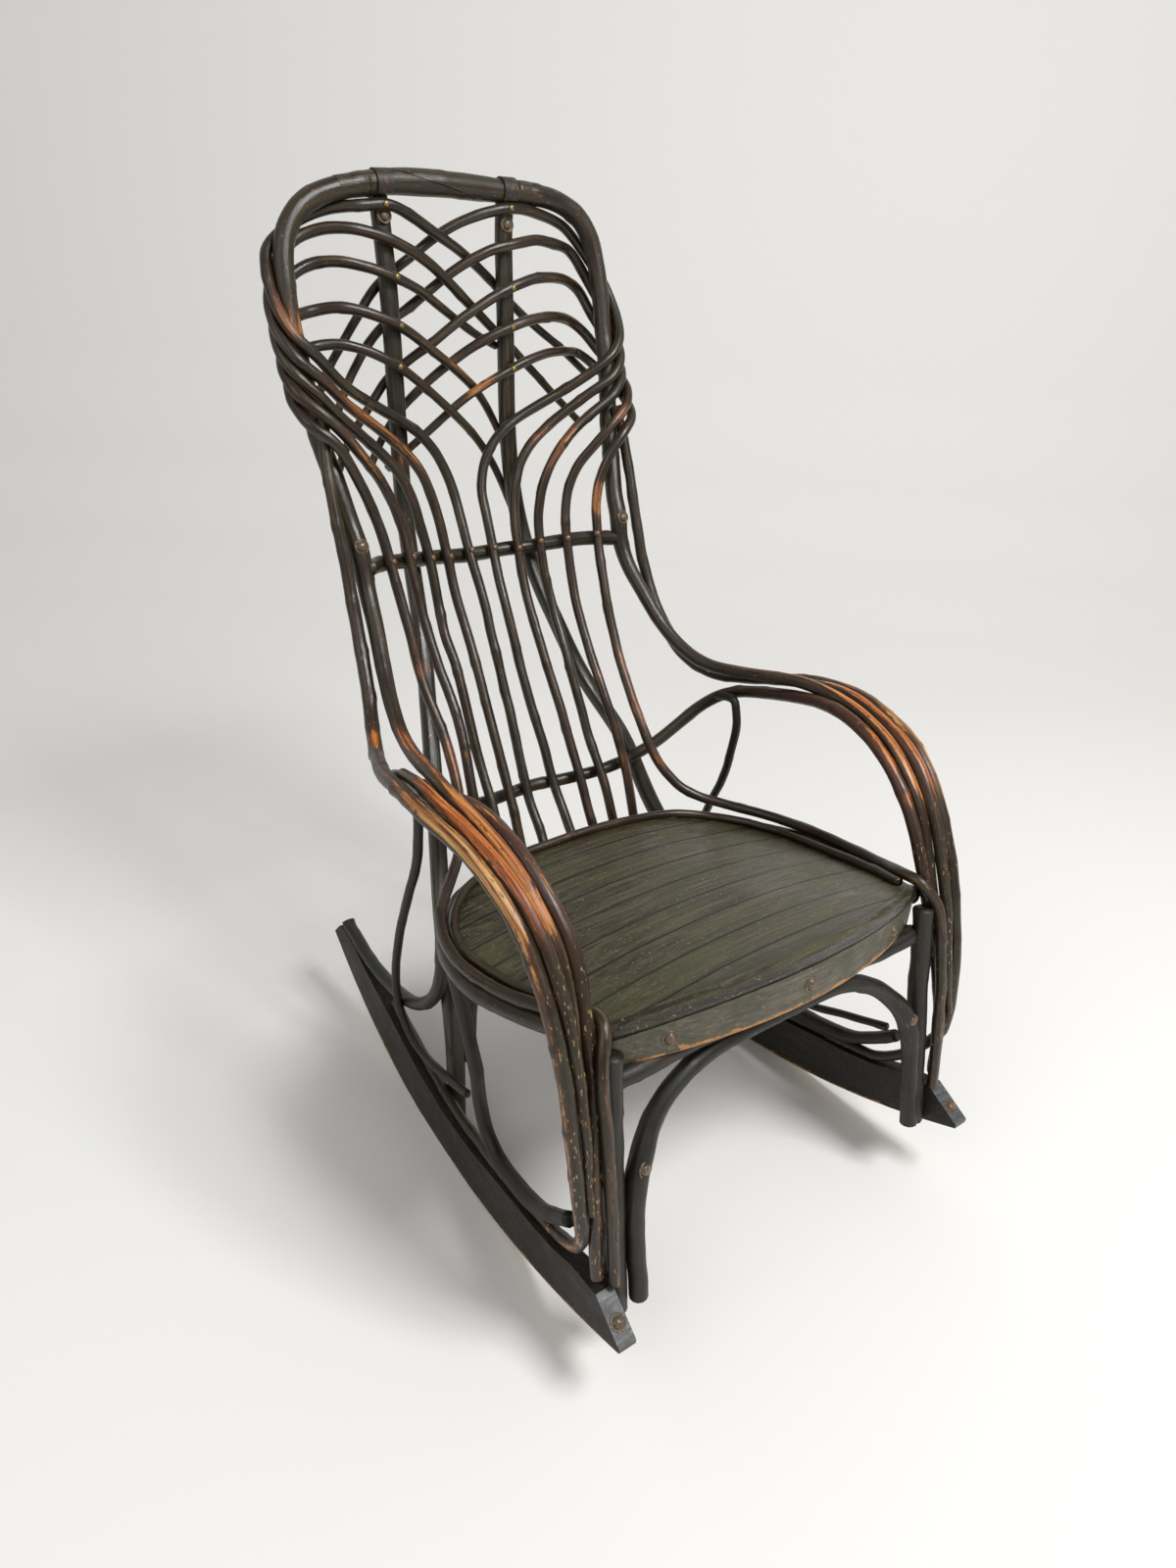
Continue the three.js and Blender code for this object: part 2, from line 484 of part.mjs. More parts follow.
function measure(contact) {
  const { rodA, rodB, i, j } = contact;
  const a = rodA.line[i];
  const b = rodA.line[i + 1];
  const c = rodB.line[j];
  const d = rodB.line[j + 1];
  const [s, t] = nearest(a, b, c, d);
  const onA = gapA.lerpVectors(a, b, s);
  const onB = gapB.lerpVectors(c, d, t);
  offset.subVectors(onA, onB);
  const between = offset.length();
  const radiusA = THREE.MathUtils.lerp(rodA.radii[i], rodA.radii[i + 1], s);
  const radiusB = THREE.MathUtils.lerp(rodB.radii[j], rodB.radii[j + 1], t);
  return { s, t, between, gap: between - radiusA - radiusB - clearance };
}

function listContacts(reach) {
  const contacts = [];
  for (let m = 0; m < rods.length; m += 1) {
    for (let n = m + 1; n < rods.length; n += 1) {
      const rodA = rods[m];
      const rodB = rods[n];
      const apart = rodA.clear.includes(rodB.name) || rodB.clear.includes(rodA.name);
      if (apart || (rodA.give === 0 && rodB.give === 0)) continue;
      for (let i = 0; i < rodA.line.length - 1; i += 1) {
        for (let j = 0; j < rodB.line.length - 1; j += 1) {
          const spans = rodA.line[i].distanceTo(rodA.line[i + 1]) + rodB.line[j].distanceTo(rodB.line[j + 1]);
          if (rodA.line[i].distanceTo(rodB.line[j]) > spans + reach) continue;
          contacts.push({ rodA, rodB, i, j });
        }
      }
    }
  }
  return contacts;
}

function move(contact, { s, t, between, gap }, share) {
  const { rodA, rodB, i, j } = contact;
  const weights = [rodA.give * (1 - s), rodA.give * s, rodB.give * (1 - t), rodB.give * t];
  const total = rodA.give * ((1 - s) ** 2 + s ** 2) + rodB.give * ((1 - t) ** 2 + t ** 2);
  const by = (-gap * share) / (between * total);
  rodA.line[i].addScaledVector(offset, weights[0] * by);
  rodA.line[i + 1].addScaledVector(offset, weights[1] * by);
  rodB.line[j].addScaledVector(offset, -weights[2] * by);
  rodB.line[j + 1].addScaledVector(offset, -weights[3] * by);
}

// Rods that lie on a rocker or on the seat stay on top of it.
function rest(rod) {
  rod.line.forEach((point, i) => {
    const radius = rod.radii[i];
    const x = Math.abs(point.x);
    const overRocker = x > rockerInner(point.y) - radius && x < rockerOuter(point.y) + radius;
    const floor = rod.rests === 'seat' ? seatTop(point.x, point.y) : rockerTop(point.y);
    const seat = floor + radius + clearance;
    if ((rod.rests === 'seat' || overRocker) && point.z < seat + nailReach) {
      point.z = point.z < seat ? seat : THREE.MathUtils.lerp(point.z, seat, 0.3);
    }
  });
}

// Spreads each push along the rod, so that it stays a fair curve.
function fair(rod, share) {
  const moved = rod.line.map((point, i) => point.clone().sub(rod.drawn[i]));
  const last = moved.length - 1;
  rod.line.forEach((point, i) => {
    const before = moved[Math.max(i - 1, 0)];
    const after = moved[Math.min(i + 1, last)];
    offset.addVectors(before, after).multiplyScalar(0.5).sub(moved[i]);
    point.addScaledVector(offset, share);
  });
}

function springTogether(rounds, fairShare) {
  let contacts = [];
  for (let round = 0; round < rounds; round += 1) {
    if (round % 10 === 0) contacts = listContacts(nailReach * 4);
    const closest = new Map();
    for (const contact of contacts) {
      const found = measure(contact);
      if (found.gap < 0) move(contact, found, 0.6);
      const pair = `${contact.rodA.name} ${contact.rodB.name}`;
      const best = closest.get(pair);
      if (!best || found.gap < best.gap) closest.set(pair, { contact, gap: found.gap });
    }
    for (const { contact, gap } of closest.values()) {
      if (gap > 0 && gap < nailReach) {
        const found = measure(contact);
        if (found.gap > 0) move(contact, found, 0.3);
      }
    }
    rods.filter((rod) => rod.give > 0).forEach((rod) => fair(rod, fairShare));
    rods.filter((rod) => rod.rests).forEach((rod) => rest(rod));
  }
}

const settlingCount = 120;
const finishingCount = 60;
const settlingShare = 0.3;
const finishingShare = 0.05;
springTogether(settlingCount, settlingShare);
springTogether(finishingCount, finishingShare);
springTogether(finishingCount, 0);

// Skins a rod: a cylinder is bent along the line, its sections square to it.
function bentRod({ line, radii, round, thickness, facing }, extra = 0) {
  const steps = line.length - 1;
  const turn = round === 4 ? Math.PI / 4 : 0;
  const swell = round === 4 ? Math.SQRT2 : 1;
  const geometry = new THREE.CylinderGeometry(1, 1, 1, round, steps, false, turn);
  geometry.deleteAttribute('normal');
  geometry.deleteAttribute('uv');
  const solid = mergeVertices(geometry);
  const corner = solid.getAttribute('position');
  const start = line[1].clone().sub(line[0]).normalize();
  let normal = facing ?? (Math.abs(start.z) < 0.7 ? up : across);
  const frames = line.map((point, i) => {
    const tangent = line[Math.min(i + 1, steps)].clone().sub(line[Math.max(i - 1, 0)]).normalize();
    const guide = facing ?? normal;
    normal = guide.clone().addScaledVector(tangent, -guide.dot(tangent)).normalize();
    return { normal, binormal: tangent.clone().cross(normal) };
  });
  const point = new THREE.Vector3();
  for (let i = 0; i < corner.count; i += 1) {
    const station = Math.round((0.5 - corner.getY(i)) * steps);
    const reach = radii[station] * swell + extra;
    const depth = thickness ? (thickness / 2) * swell + extra : reach;
    const { normal: side, binormal } = frames[station];
    point.copy(line[station]).addScaledVector(side, corner.getX(i) * reach);
    point.addScaledVector(binormal, corner.getZ(i) * depth);
    corner.setXYZ(i, point.x, point.y, point.z);
  }
  return solid;
}

// Solids, for cutting and joining
function toSolid(geometry) {
  const closed = geometry.clone();
  closed.deleteAttribute('normal');
  closed.deleteAttribute('uv');
  const merged = mergeVertices(closed);
  const vertProperties = new Float32Array(merged.getAttribute('position').array);
  const triVerts = new Uint32Array(merged.index.array);
  return new wasm.Manifold(new wasm.Mesh({ numProp: 3, vertProperties, triVerts }));
}

function toGeometry(solid) {
  const mesh = solid.getMesh();
  const geometry = new THREE.BufferGeometry();
  geometry.setAttribute('position', new THREE.BufferAttribute(new Float32Array(mesh.vertProperties), 3));
  geometry.setIndex(new THREE.BufferAttribute(new Uint32Array(mesh.triVerts), 1));
  return geometry;
}

const rodNamed = (name) => rods.find((rod) => rod.name === name);
const fattened = (name) => toSolid(bentRod(rodNamed(name), clearance * 1.2));
const cutBy = (solid, names) => names.reduce((left, name) => left.subtract(fattened(name)), solid);

// The largest body of a cut piece, without the shavings that a shallow cut leaves.
function largestBody(solid) {
  return solid.decompose().sort((a, b) => b.volume() - a.volume())[0];
}

function addPiece(name, geometry, material) {
  geometry.computeVertexNormals();
  const mesh = new THREE.Mesh(geometry, material.clone());
  mesh.name = name;
  chair.add(mesh);
  return mesh;
}

// A dome-headed bolt on its washer, pointing along +Z with its seat at the origin.
function boltGeometry() {
  const shank = shankDiameter / 2;
  const head = boltHeadDiameter / 2;
  const washer = washerDiameter / 2;
  const profile = [
    [0, -shankLength], [shank, -shankLength], [shank, 0], [washer, 0], [washer, washerThickness * 0.6],
    [washer * 0.8, washerThickness], [head, washerThickness],
    [head * 0.8, washerThickness + boltHeadHeight * 0.7],
    [0, washerThickness + boltHeadHeight],
  ];
  const geometry = new THREE.LatheGeometry(profile.map(([x, y]) => new THREE.Vector2(x, y)), 8);
  return geometry.rotateX(Math.PI / 2);
}

// The hole that a bolt's shank needs.
function boltHole(spot, outward) {
  const radius = shankDiameter / 2 + clearance;
  const hole = new THREE.CylinderGeometry(radius, radius, shankLength * 2, 8);
  const turn = new THREE.Quaternion().setFromUnitVectors(up, outward);
  hole.rotateX(Math.PI / 2).translate(0, 0, -clearance).applyQuaternion(turn);
  return toSolid(hole.translate(spot.x, spot.y, spot.z));
}

const bolts = [];
const boltsIn = (name) => bolts.filter((bolt) => bolt.into === name);
const bored = (solid, name) => boltsIn(name).reduce((left, bolt) => {
  return left.subtract(boltHole(bolt.spot, bolt.outward));
}, solid);
const front = new THREE.Vector3(0, -1, 0);

// The front of a rod where it first passes a height on one side of the chair, and the way square out of it.
function rodFront(name, height, side) {
  const { line, radii, thickness } = rodNamed(name);
  const i = line.findIndex((point, at) => {
    const next = line[at + 1] ?? point;
    return point.x * side.sign > 0 && (point.z - height) * (next.z - height) < 0;
  });
  const along = line[i + 1].clone().sub(line[i]);
  const middle = line[i].clone().addScaledVector(along, (height - line[i].z) / along.z);
  along.normalize();
  const outward = front.clone().addScaledVector(along, -front.dot(along)).normalize();
  const surface = thickness ? thickness / 2 : Math.max(radii[i], radii[i + 1]);
  return { spot: middle.addScaledVector(outward, surface + clearance), outward };
}

const postBoltShare = 81.05;
const stileBoltShare = 53.9;
const braceBoltShare = 18;
for (const side of sides) {
  const post = `post_${side.name}`;
  const hoop = `hoop_${side.name}`;
  const onPost = rodFront(post, postBoltShare * square.z, side);
  const onStile = rodFront(hoop, stileBoltShare * square.z, side);
  const onBrace = rodFront('front_brace', braceBoltShare * square.z, side);
  bolts.push({ name: `post_bolt_${side.name}`, into: post, ...onPost });
  bolts.push({ name: `stile_bolt_${side.name}`, into: hoop, ...onStile });
  bolts.push({ name: `brace_bolt_${side.name}`, into: 'front_brace', ...onBrace });
}

// Rods as pieces. The coped ones are hollowed where a neighbour passes.
const hoops = ['hoop_left', 'hoop_right'];
const copedBy = {
  crossbar: [...hoops, 'post_left', 'post_right'],
  post_left: [...hoops, 'outer_arm_left', 'tail_loop_left', 'inner_arm_hoop', 'back_rod_right_3'],
  post_right: [
    ...hoops, 'outer_arm_right', 'tail_loop_right', 'inner_arm_hoop', 'back_rod_left_2', 'back_rod_left_3',
    'back_rod_left_4', 'back_rod_left_5',
  ],
  leg_rod_left: ['outer_arm_left'],
  leg_rod_right: ['outer_arm_right'],
  seat_hoop: ['front_post_left', 'front_post_right'],
  front_rail: ['front_post_left', 'front_post_right'],
};
// The hoop's halves meet in a long slanting scarf between the posts.
const scarfSlope = Math.atan(hoopMiddleDiameter / scarfLength);
const scarfMiddleShares = [0, 32.2, 83.8];
function scarfCutter(sign) {
  const spot = place(scarfMiddleShares);
  const depth = hoopMiddleDiameter * 2;
  const box = new THREE.BoxGeometry(scarfLength * 1.5, depth, depth);
  box.translate(0, 0, (sign * (depth - clearance)) / 2).rotateY(scarfSlope);
  return toSolid(box.translate(spot.x, spot.y, spot.z));
}

for (const rod of rods) {
  let solid = toSolid(bentRod(rod));
  solid = cutBy(solid, copedBy[rod.name] ?? []);
  if (hoops.includes(rod.name)) solid = solid.subtract(scarfCutter(rod.name === 'hoop_left' ? 1 : -1));
  solid = bored(solid, rod.name);
  addPiece(rod.name, toGeometry(largestBody(solid)), rod.name.includes('arm') ? wornPaint : oldPaint);
}

// Rockers: sawn boards, flat where the chair stands
function rockerOutline() {
  const contact = contactShift;
  const half = flatLength / 2;
  const frontRun = noseReach + contact - half;
  const rearRun = heelReach - contact - half;
  const steps = 9;
  const points = [];
  for (let i = steps; i >= 0; i -= 1) {
    points.push([contact - half - (frontRun * i) / steps, noseRise * (i / steps) ** 2]);
  }
  for (let i = 0; i <= steps; i += 1) {
    points.push([contact + half + (rearRun * i) / steps, heelRise * (i / steps) ** 2]);
  }
  const top = rockerTopTable.slice(0, -1).reverse();
  return [...points, ...top].map(([y, z]) => new THREE.Vector2(y, z));
}

for (const side of sides) {
  const name = `rocker_${side.name}`;
  const geometry = new THREE.ExtrudeGeometry(new THREE.Shape(rockerOutline()), {
    depth: rockerThickness, bevelEnabled: false,
  });
  geometry.rotateX(Math.PI / 2).rotateZ(Math.PI / 2);
  const inner = side.sign < 0 ? -rockerSpread : rockerSpread - rockerThickness;
  const shear = -side.sign * toeInShare;
  geometry.translate(inner, 0, 0);
  geometry.applyMatrix4(new THREE.Matrix4().set(1, shear, 0, 0, 0, 1, 0, 0, 0, 0, 1, 0, 0, 0, 0, 1));
  const noseTop = rockerTopTable[1];
  const tip = rockerTopTable[0];
  const y = THREE.MathUtils.lerp(noseTop[0], tip[0], 0.6);
  const z = THREE.MathUtils.lerp(noseTop[1], tip[1], 0.6);
  const outward = new THREE.Vector3(0, tip[1] - noseTop[1], noseTop[0] - tip[0]).normalize();
  const spot = new THREE.Vector3(side.sign * (rockerOuter(y) - rockerThickness / 2), y, z);
  spot.addScaledVector(outward, clearance);
  bolts.push({ name: `rocker_bolt_${side.name}`, into: name, spot, outward });
  const ownRods = ['outer_arm', 'leg_rod', 'front_post', 'tail_loop', 'post'].map((rod) => {
    return `${rod}_${side.name}`;
  });
  const neighbours = [...ownRods, `back_rod_${side.name}_5`, 'inner_arm_hoop', 'front_brace'];
  const solid = bored(cutBy(toSolid(geometry), neighbours), name);
  addPiece(name, toGeometry(largestBody(solid)), oldPaint);
}

// Seat boards: crowned planks laid side to side inside the seat hoop
function seatPlan() {
  const ends = seatPlanShares.map(([x, y]) => new THREE.Vector2(x * square.x, y * square.y));
  const steps = 8;
  const nose = [];
  for (let i = -steps; i < steps; i += 1) {
    const x = (i / steps) * noseHalfWidth;
    nose.push(new THREE.Vector2(x, noseLine(x)));
  }
  const left = ends.map((point) => new THREE.Vector2(-point.x, point.y)).reverse();
  return new THREE.Shape([...nose, ...ends, ...left]);
}

function crownedPlank(frontY, backY) {
  const steps = 7;
  const half = chairWidth / 2;
  const profile = [];
  for (let i = -steps; i <= steps; i += 1) {
    const x = (i / steps) * half;
    profile.push(new THREE.Vector2(x, seatTop(x, backY)));
  }
  const under = profile.map((point) => new THREE.Vector2(point.x, point.y - boardThickness)).reverse();
  const shape = new THREE.Shape([...profile, ...under]);
  const geometry = new THREE.ExtrudeGeometry(shape, { depth: backY - frontY, bevelEnabled: false });
  const slope = (seatCentre(backY) - seatCentre(frontY)) / (backY - frontY);
  geometry.rotateX(Math.PI / 2);
  geometry.applyMatrix4(new THREE.Matrix4().set(1, 0, 0, 0, 0, 1, 0, backY, 0, slope, 1, 0, 0, 0, 0, 1));
  return geometry;
}

const planBlock = new THREE.ExtrudeGeometry(seatPlan(), { depth: seatFrontHeight, bevelEnabled: false });
const planSolid = toSolid(planBlock.translate(0, 0, seatFrontHeight / 2));
// A bar across the chair that follows the nose; its depth at each place comes from heightAt.
function noseBar(setback, drop, heightAt) {
  const steps = 8;
  const line = [];
  for (let i = -steps; i <= steps; i += 1) {
    const x = (i / steps) * noseHalfWidth;
    const y = noseLine(x) + setback;
    line.push(new THREE.Vector3(x, y, seatTop(x, noseLine(x)) - drop - heightAt(x) / 2));
  }
  return { line, radii: line.map((point) => heightAt(point.x) / 2) };
}

const seatNeighbours = ['seat_hoop', 'inner_arm_hoop', ...sides.flatMap(({ name }) => [
  `front_post_${name}`, `back_rod_${name}_5`,
])];
const nose = { ...noseBar(noseDiameter / 2, 0, () => noseDiameter), round: 8 };
const boardPitch = seatDepth / boardCount;
for (let i = 0; i < boardCount; i += 1) {
  const frontY = -seatFrontReach + i * boardPitch;
  let solid = toSolid(crownedPlank(frontY, frontY + boardPitch - boardGap)).intersect(planSolid);
  if (i === 0) solid = solid.add(toSolid(bentRod(nose)));
  if (i === 1) solid = solid.subtract(toSolid(bentRod(nose, clearance)));
  solid = cutBy(solid, seatNeighbours);
  addPiece(`seat_board_${i + 1}`, toGeometry(largestBody(solid)), seatPaint);
}

// The apron is a thin board bent round under the nose, deepest in the middle.
const apronHeightAt = (x) => THREE.MathUtils.lerp(apronHeight, apronEndHeight, (x / noseHalfWidth) ** 2);
const apron = {
  ...noseBar(apronSetback + apronThickness / 2, noseDiameter + clearance, apronHeightAt),
  round: 4, thickness: apronThickness, facing: up,
};
const apronBoltSpread = noseHalfWidth * 0.73;
[-apronBoltSpread, 0, apronBoltSpread].forEach((x, i) => {
  const outward = new THREE.Vector3((2 * noseBow * x) / noseHalfWidth ** 2, -1, 0).normalize();
  const height = seatTop(x, noseLine(x)) - noseDiameter - apronHeightAt(x) / 2;
  const spot = new THREE.Vector3(x, noseLine(x) + apronSetback, height).addScaledVector(outward, clearance);
  bolts.push({ name: `apron_bolt_${i + 1}`, into: 'apron', spot, outward });
});
const apronNeighbours = ['front_rail', 'seat_hoop', ...sides.flatMap(({ name }) => [
  `front_post_${name}`, `back_rod_${name}_5`,
])];
const noseRoom = toSolid(bentRod(nose, clearance));
const apronBoard = cutBy(toSolid(bentRod(apron)), apronNeighbours).subtract(noseRoom);
const apronSolid = bored(apronBoard, 'apron');
addPiece('apron', toGeometry(largestBody(apronSolid)), oldPaint);

// Straps that hold the hoop down on the posts: open rings round the hoop
function strapGeometry(hoopRadius) {
  const inner = hoopRadius + clearance * 2;
  const open = THREE.MathUtils.degToRad(48);
  const shape = new THREE.Shape();
  shape.absarc(0, 0, inner + strapThickness, open - Math.PI / 2, Math.PI * 1.5 - open, false);
  shape.absarc(0, 0, inner, Math.PI * 1.5 - open, open - Math.PI / 2, true);
  const sweep = { depth: strapWidth, bevelEnabled: false, curveSegments: 12 };
  const geometry = new THREE.ExtrudeGeometry(shape, sweep);
  return geometry.translate(0, 0, -strapWidth / 2).rotateX(Math.PI / 2).rotateZ(Math.PI / 2);
}

for (const side of sides) {
  const { line, radii } = rodNamed(`hoop_${side.name}`);
  const x = rodNamed(`post_${side.name}`).line[0].x;
  const i = line.findIndex((point, at) => at < line.length - 1 && (point.x - x) * (line[at + 1].x - x) <= 0);
  const spot = line[i].clone().lerp(line[i + 1], (x - line[i].x) / (line[i + 1].x - line[i].x));
  const along = line[i + 1].clone().sub(line[i]).normalize();
  const turn = new THREE.Quaternion().setFromUnitVectors(across, along.multiplyScalar(Math.sign(along.x)));
  const ring = strapGeometry(Math.max(radii[i], radii[i + 1]));
  const strap = ring.applyQuaternion(turn).translate(spot.x, spot.y, spot.z);
  const neighbours = [`post_${side.name}`, 'back_rod_left_1', 'back_rod_right_1'];
  addPiece(`strap_${side.name}`, toGeometry(largestBody(cutBy(toSolid(strap), neighbours))), ironPaint);
}

// Bolts
for (const { name, spot, outward } of bolts) {
  const bolt = addPiece(name, boltGeometry(), ironPaint);
  bolt.position.copy(spot);
  bolt.quaternion.setFromUnitVectors(up, outward);
}

// The part stands on the middle of its own outline.
const bounds = new THREE.Box3().setFromObject(chair);
const middle = bounds.getCenter(new THREE.Vector3());
chair.position.set(-middle.x, -middle.y, -bounds.min.z);
export default chair;
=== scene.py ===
import math
import random

import bmesh
import bpy
import numpy as np
from mathutils import Matrix, Vector, noise


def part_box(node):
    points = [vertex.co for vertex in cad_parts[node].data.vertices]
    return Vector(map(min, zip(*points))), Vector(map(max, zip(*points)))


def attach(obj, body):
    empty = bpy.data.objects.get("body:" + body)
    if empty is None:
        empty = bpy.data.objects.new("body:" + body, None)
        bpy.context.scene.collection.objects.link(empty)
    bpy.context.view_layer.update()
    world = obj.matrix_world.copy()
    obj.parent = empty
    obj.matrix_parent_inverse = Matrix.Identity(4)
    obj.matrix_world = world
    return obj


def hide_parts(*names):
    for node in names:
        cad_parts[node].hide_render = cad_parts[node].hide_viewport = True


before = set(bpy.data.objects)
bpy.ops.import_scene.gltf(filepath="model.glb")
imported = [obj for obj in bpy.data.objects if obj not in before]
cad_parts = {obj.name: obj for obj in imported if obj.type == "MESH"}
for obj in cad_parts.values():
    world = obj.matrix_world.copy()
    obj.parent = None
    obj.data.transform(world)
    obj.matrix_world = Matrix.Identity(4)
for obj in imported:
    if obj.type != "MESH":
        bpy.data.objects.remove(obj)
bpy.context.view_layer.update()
scene = bpy.context.scene
scene.view_settings.view_transform = "Standard"
mm = 0.001
print("frame loaded:", len(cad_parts), "solids")


def newObject(name, data):
    made = bpy.data.objects.new(name, data)
    scene.collection.objects.link(made)
    return made


# the photograph's camera: its place in metres, its turns in degrees, its picture in pixels
view = {
    "place": (-0.5325, -0.66915, 0.77905), "turn": -37.193, "tip": 63.121, "roll": 3.0,
    "focalPixels": 1040, "width": 1200, "height": 1600, "sensorMm": 36, "nearest": 0.02,
}
viewTurn = (
    Matrix.Rotation(math.radians(view["turn"]), 4, "Z")
    @ Matrix.Rotation(math.radians(view["tip"]), 4, "X")
    @ Matrix.Rotation(math.radians(view["roll"]), 4, "Z")
)
cameraData = bpy.data.cameras.new("camera")
cameraData.sensor_fit = "VERTICAL"
cameraData.sensor_height = view["sensorMm"]
cameraData.lens = view["focalPixels"] * view["sensorMm"] / view["height"]
cameraData.clip_start = view["nearest"]
cameraObject = newObject("camera", cameraData)
cameraObject.matrix_world = Matrix.Translation(view["place"]) @ viewTurn
scene.camera = cameraObject
intoView = cameraObject.matrix_world.inverted()


def seenAt(point):
    # where a point of the chair falls in the picture, in pixels of the full frame
    local = intoView @ Vector(point)
    scale = view["focalPixels"] / -local.z
    return np.array((view["width"] / 2 + local.x * scale, view["height"] / 2 - local.y * scale))


def linearColour(hexText):
    # sRGB hex to the linear colour that a shader takes
    channels = [int(hexText[i:i + 2], 16) / 255 for i in (1, 3, 5)]
    return tuple(c / 12.92 if c <= 0.04045 else ((c + 0.055) / 1.055) ** 2.4 for c in channels) + (1.0,)


# sockets of a Mix node that mixes colours: how much, from, to, and the result; and those of a Map Range
mixAmount, mixFrom, mixTo, mixResult = 0, 6, 7, 2
rangeSockets = ("Value", "From Min", "From Max", "To Min", "To Max")


def addNode(tree, kind, inputs=None, ramp=None, out=0, **settings):
    # one node with its settings, its values or links, and its colour stops where it is a ramp, the two
    # end stops first; gives the output that is used
    node = tree.nodes.new("ShaderNode" + kind)
    for name, value in settings.items():
        setattr(node, name, value)
    for socket, value in (inputs or {}).items():
        if isinstance(value, bpy.types.NodeSocket):
            tree.links.new(value, node.inputs[socket])
        elif isinstance(value, str):
            node.inputs[socket].default_value = linearColour(value)
        else:
            node.inputs[socket].default_value = value
    for i, (at, colour) in enumerate(ramp or []):
        stop = node.color_ramp.elements[i] if i < 2 else node.color_ramp.elements.new(at)
        stop.position = at
        stop.color = linearColour(colour)
    return node.outputs[out] if node.outputs else None


def newMaterial(name):
    material = bpy.data.materials.new(name)
    material.use_nodes = True
    material.node_tree.nodes.clear()
    return material, material.node_tree


def willowMaterial(name, look):
    # Whole willow rods under old oil paint, rubbed through by hands: half glossy, streaked along the
    # rod, with bare orange and tan wood wherever the wear attribute is high
    material, tree = newMaterial(name)
    place = addNode(tree, "Attribute", out="Vector", attribute_name="grainPlace")
    wear, flecks, tone, pale, knot = (
        addNode(tree, "Attribute", out="Fac", attribute_name=attribute)
        for attribute in ("wear", "flecks", "tone", "pale", "knot")
    )
    # noises sized across and along the rod, with their detail and roughness; a scale is repeats per metre
    patterns = []
    for kind, detail, rough in (("streak", 4, 0.6), ("patch", 5, 0.62), ("fine", 3, 0.5), ("chip", 3, 0.5)):
        wide, long = (1000 / size for size in look[kind + "Mm"])
        drawnOut = addNode(tree, "Mapping", {"Vector": place, "Scale": (wide, wide, long)})
        patterns.append(addNode(tree, "TexNoise", {
            "Vector": drawnOut, "Scale": 1, "Detail": detail, "Roughness": rough,
        }))
    streaks, patches, fine, chips = patterns
    # paint: dark brown black, lighter where it is thin along the streaks, greenish in patches
    paint = addNode(tree, "ValToRGB", {"Fac": streaks}, ramp=look["paint"])
    # bare wood: orange shellacked wood, or cream where it is rubbed palest
    orange = addNode(tree, "ValToRGB", {"Fac": streaks}, ramp=look["orange"])
    cream = addNode(tree, "ValToRGB", {"Fac": streaks}, ramp=look["cream"])
    bare = addNode(tree, "Mix", {mixAmount: pale, mixFrom: orange, mixTo: cream},
                   out=mixResult, data_type="RGBA")
    # the paint's broken edge: the wear roughened by the streaks, the patches and the fine grain
    rubbing = wear
    for pattern, weight in ((streaks, 0.9), (patches, 0.8), (fine, 0.4)):
        rubbing = addNode(tree, "Math", {0: pattern, 1: weight, 2: rubbing}, operation="MULTIPLY_ADD")
    # small chips of paint off the front descents and the bends
    chipping = addNode(tree, "Math", {0: flecks, 1: 0.12, 2: chips}, operation="MULTIPLY_ADD")
    # how each pattern turns into an amount: its range, and the amounts at both ends of it
    greened, browned, thin, through, chipped, pitted, knotted, roughness = (
        addNode(tree, "MapRange", dict(zip(rangeSockets, values)))
        for values in (
            (patches, 0.46, 0.66, 0, look["greenAmount"]), (streaks, 0.3, 0.65, 0.3, 1.1),
            (rubbing, 1.32, 1.6, 0, 0.75), (rubbing, 1.56, 1.66, 0, 1), (chipping, 0.72, 0.76, 0, 1),
            (chips, 0.32, 0.39, 0.8, 0), (knot, 0.14, 0.6, 0, 0.88), (patches, 0.3, 0.7, *look["roughness"]),
        )
    )
    toned = addNode(tree, "Math", {0: browned, 1: tone}, operation="MULTIPLY", use_clamp=True)
    colour = paint
    for amount, over in (
        (greened, look["green"]), (toned, look["brown"]), (thin, look["rubbed"]), (through, bare),
        (chipped, look["chip"]), (pitted, look["pit"]), (knotted, look["knot"]),
    ):
        colour = addNode(tree, "Mix", {mixAmount: amount, mixFrom: colour, mixTo: over},
                         out=mixResult, data_type="RGBA")
    grain = addNode(tree, "Math", {0: fine, 1: 0.5, 2: streaks}, operation="MULTIPLY_ADD")
    height = addNode(tree, "Math", {0: through, 1: -0.25, 2: grain}, operation="MULTIPLY_ADD")
    bump = addNode(tree, "Bump", {"Height": height, "Distance": look["bumpMm"] * mm})
    surface = addNode(tree, "BsdfPrincipled", {
        "Base Color": colour, "Roughness": roughness, "IOR": 1.5, "Normal": bump,
    })
    addNode(tree, "OutputMaterial", {"Surface": surface})
    return material


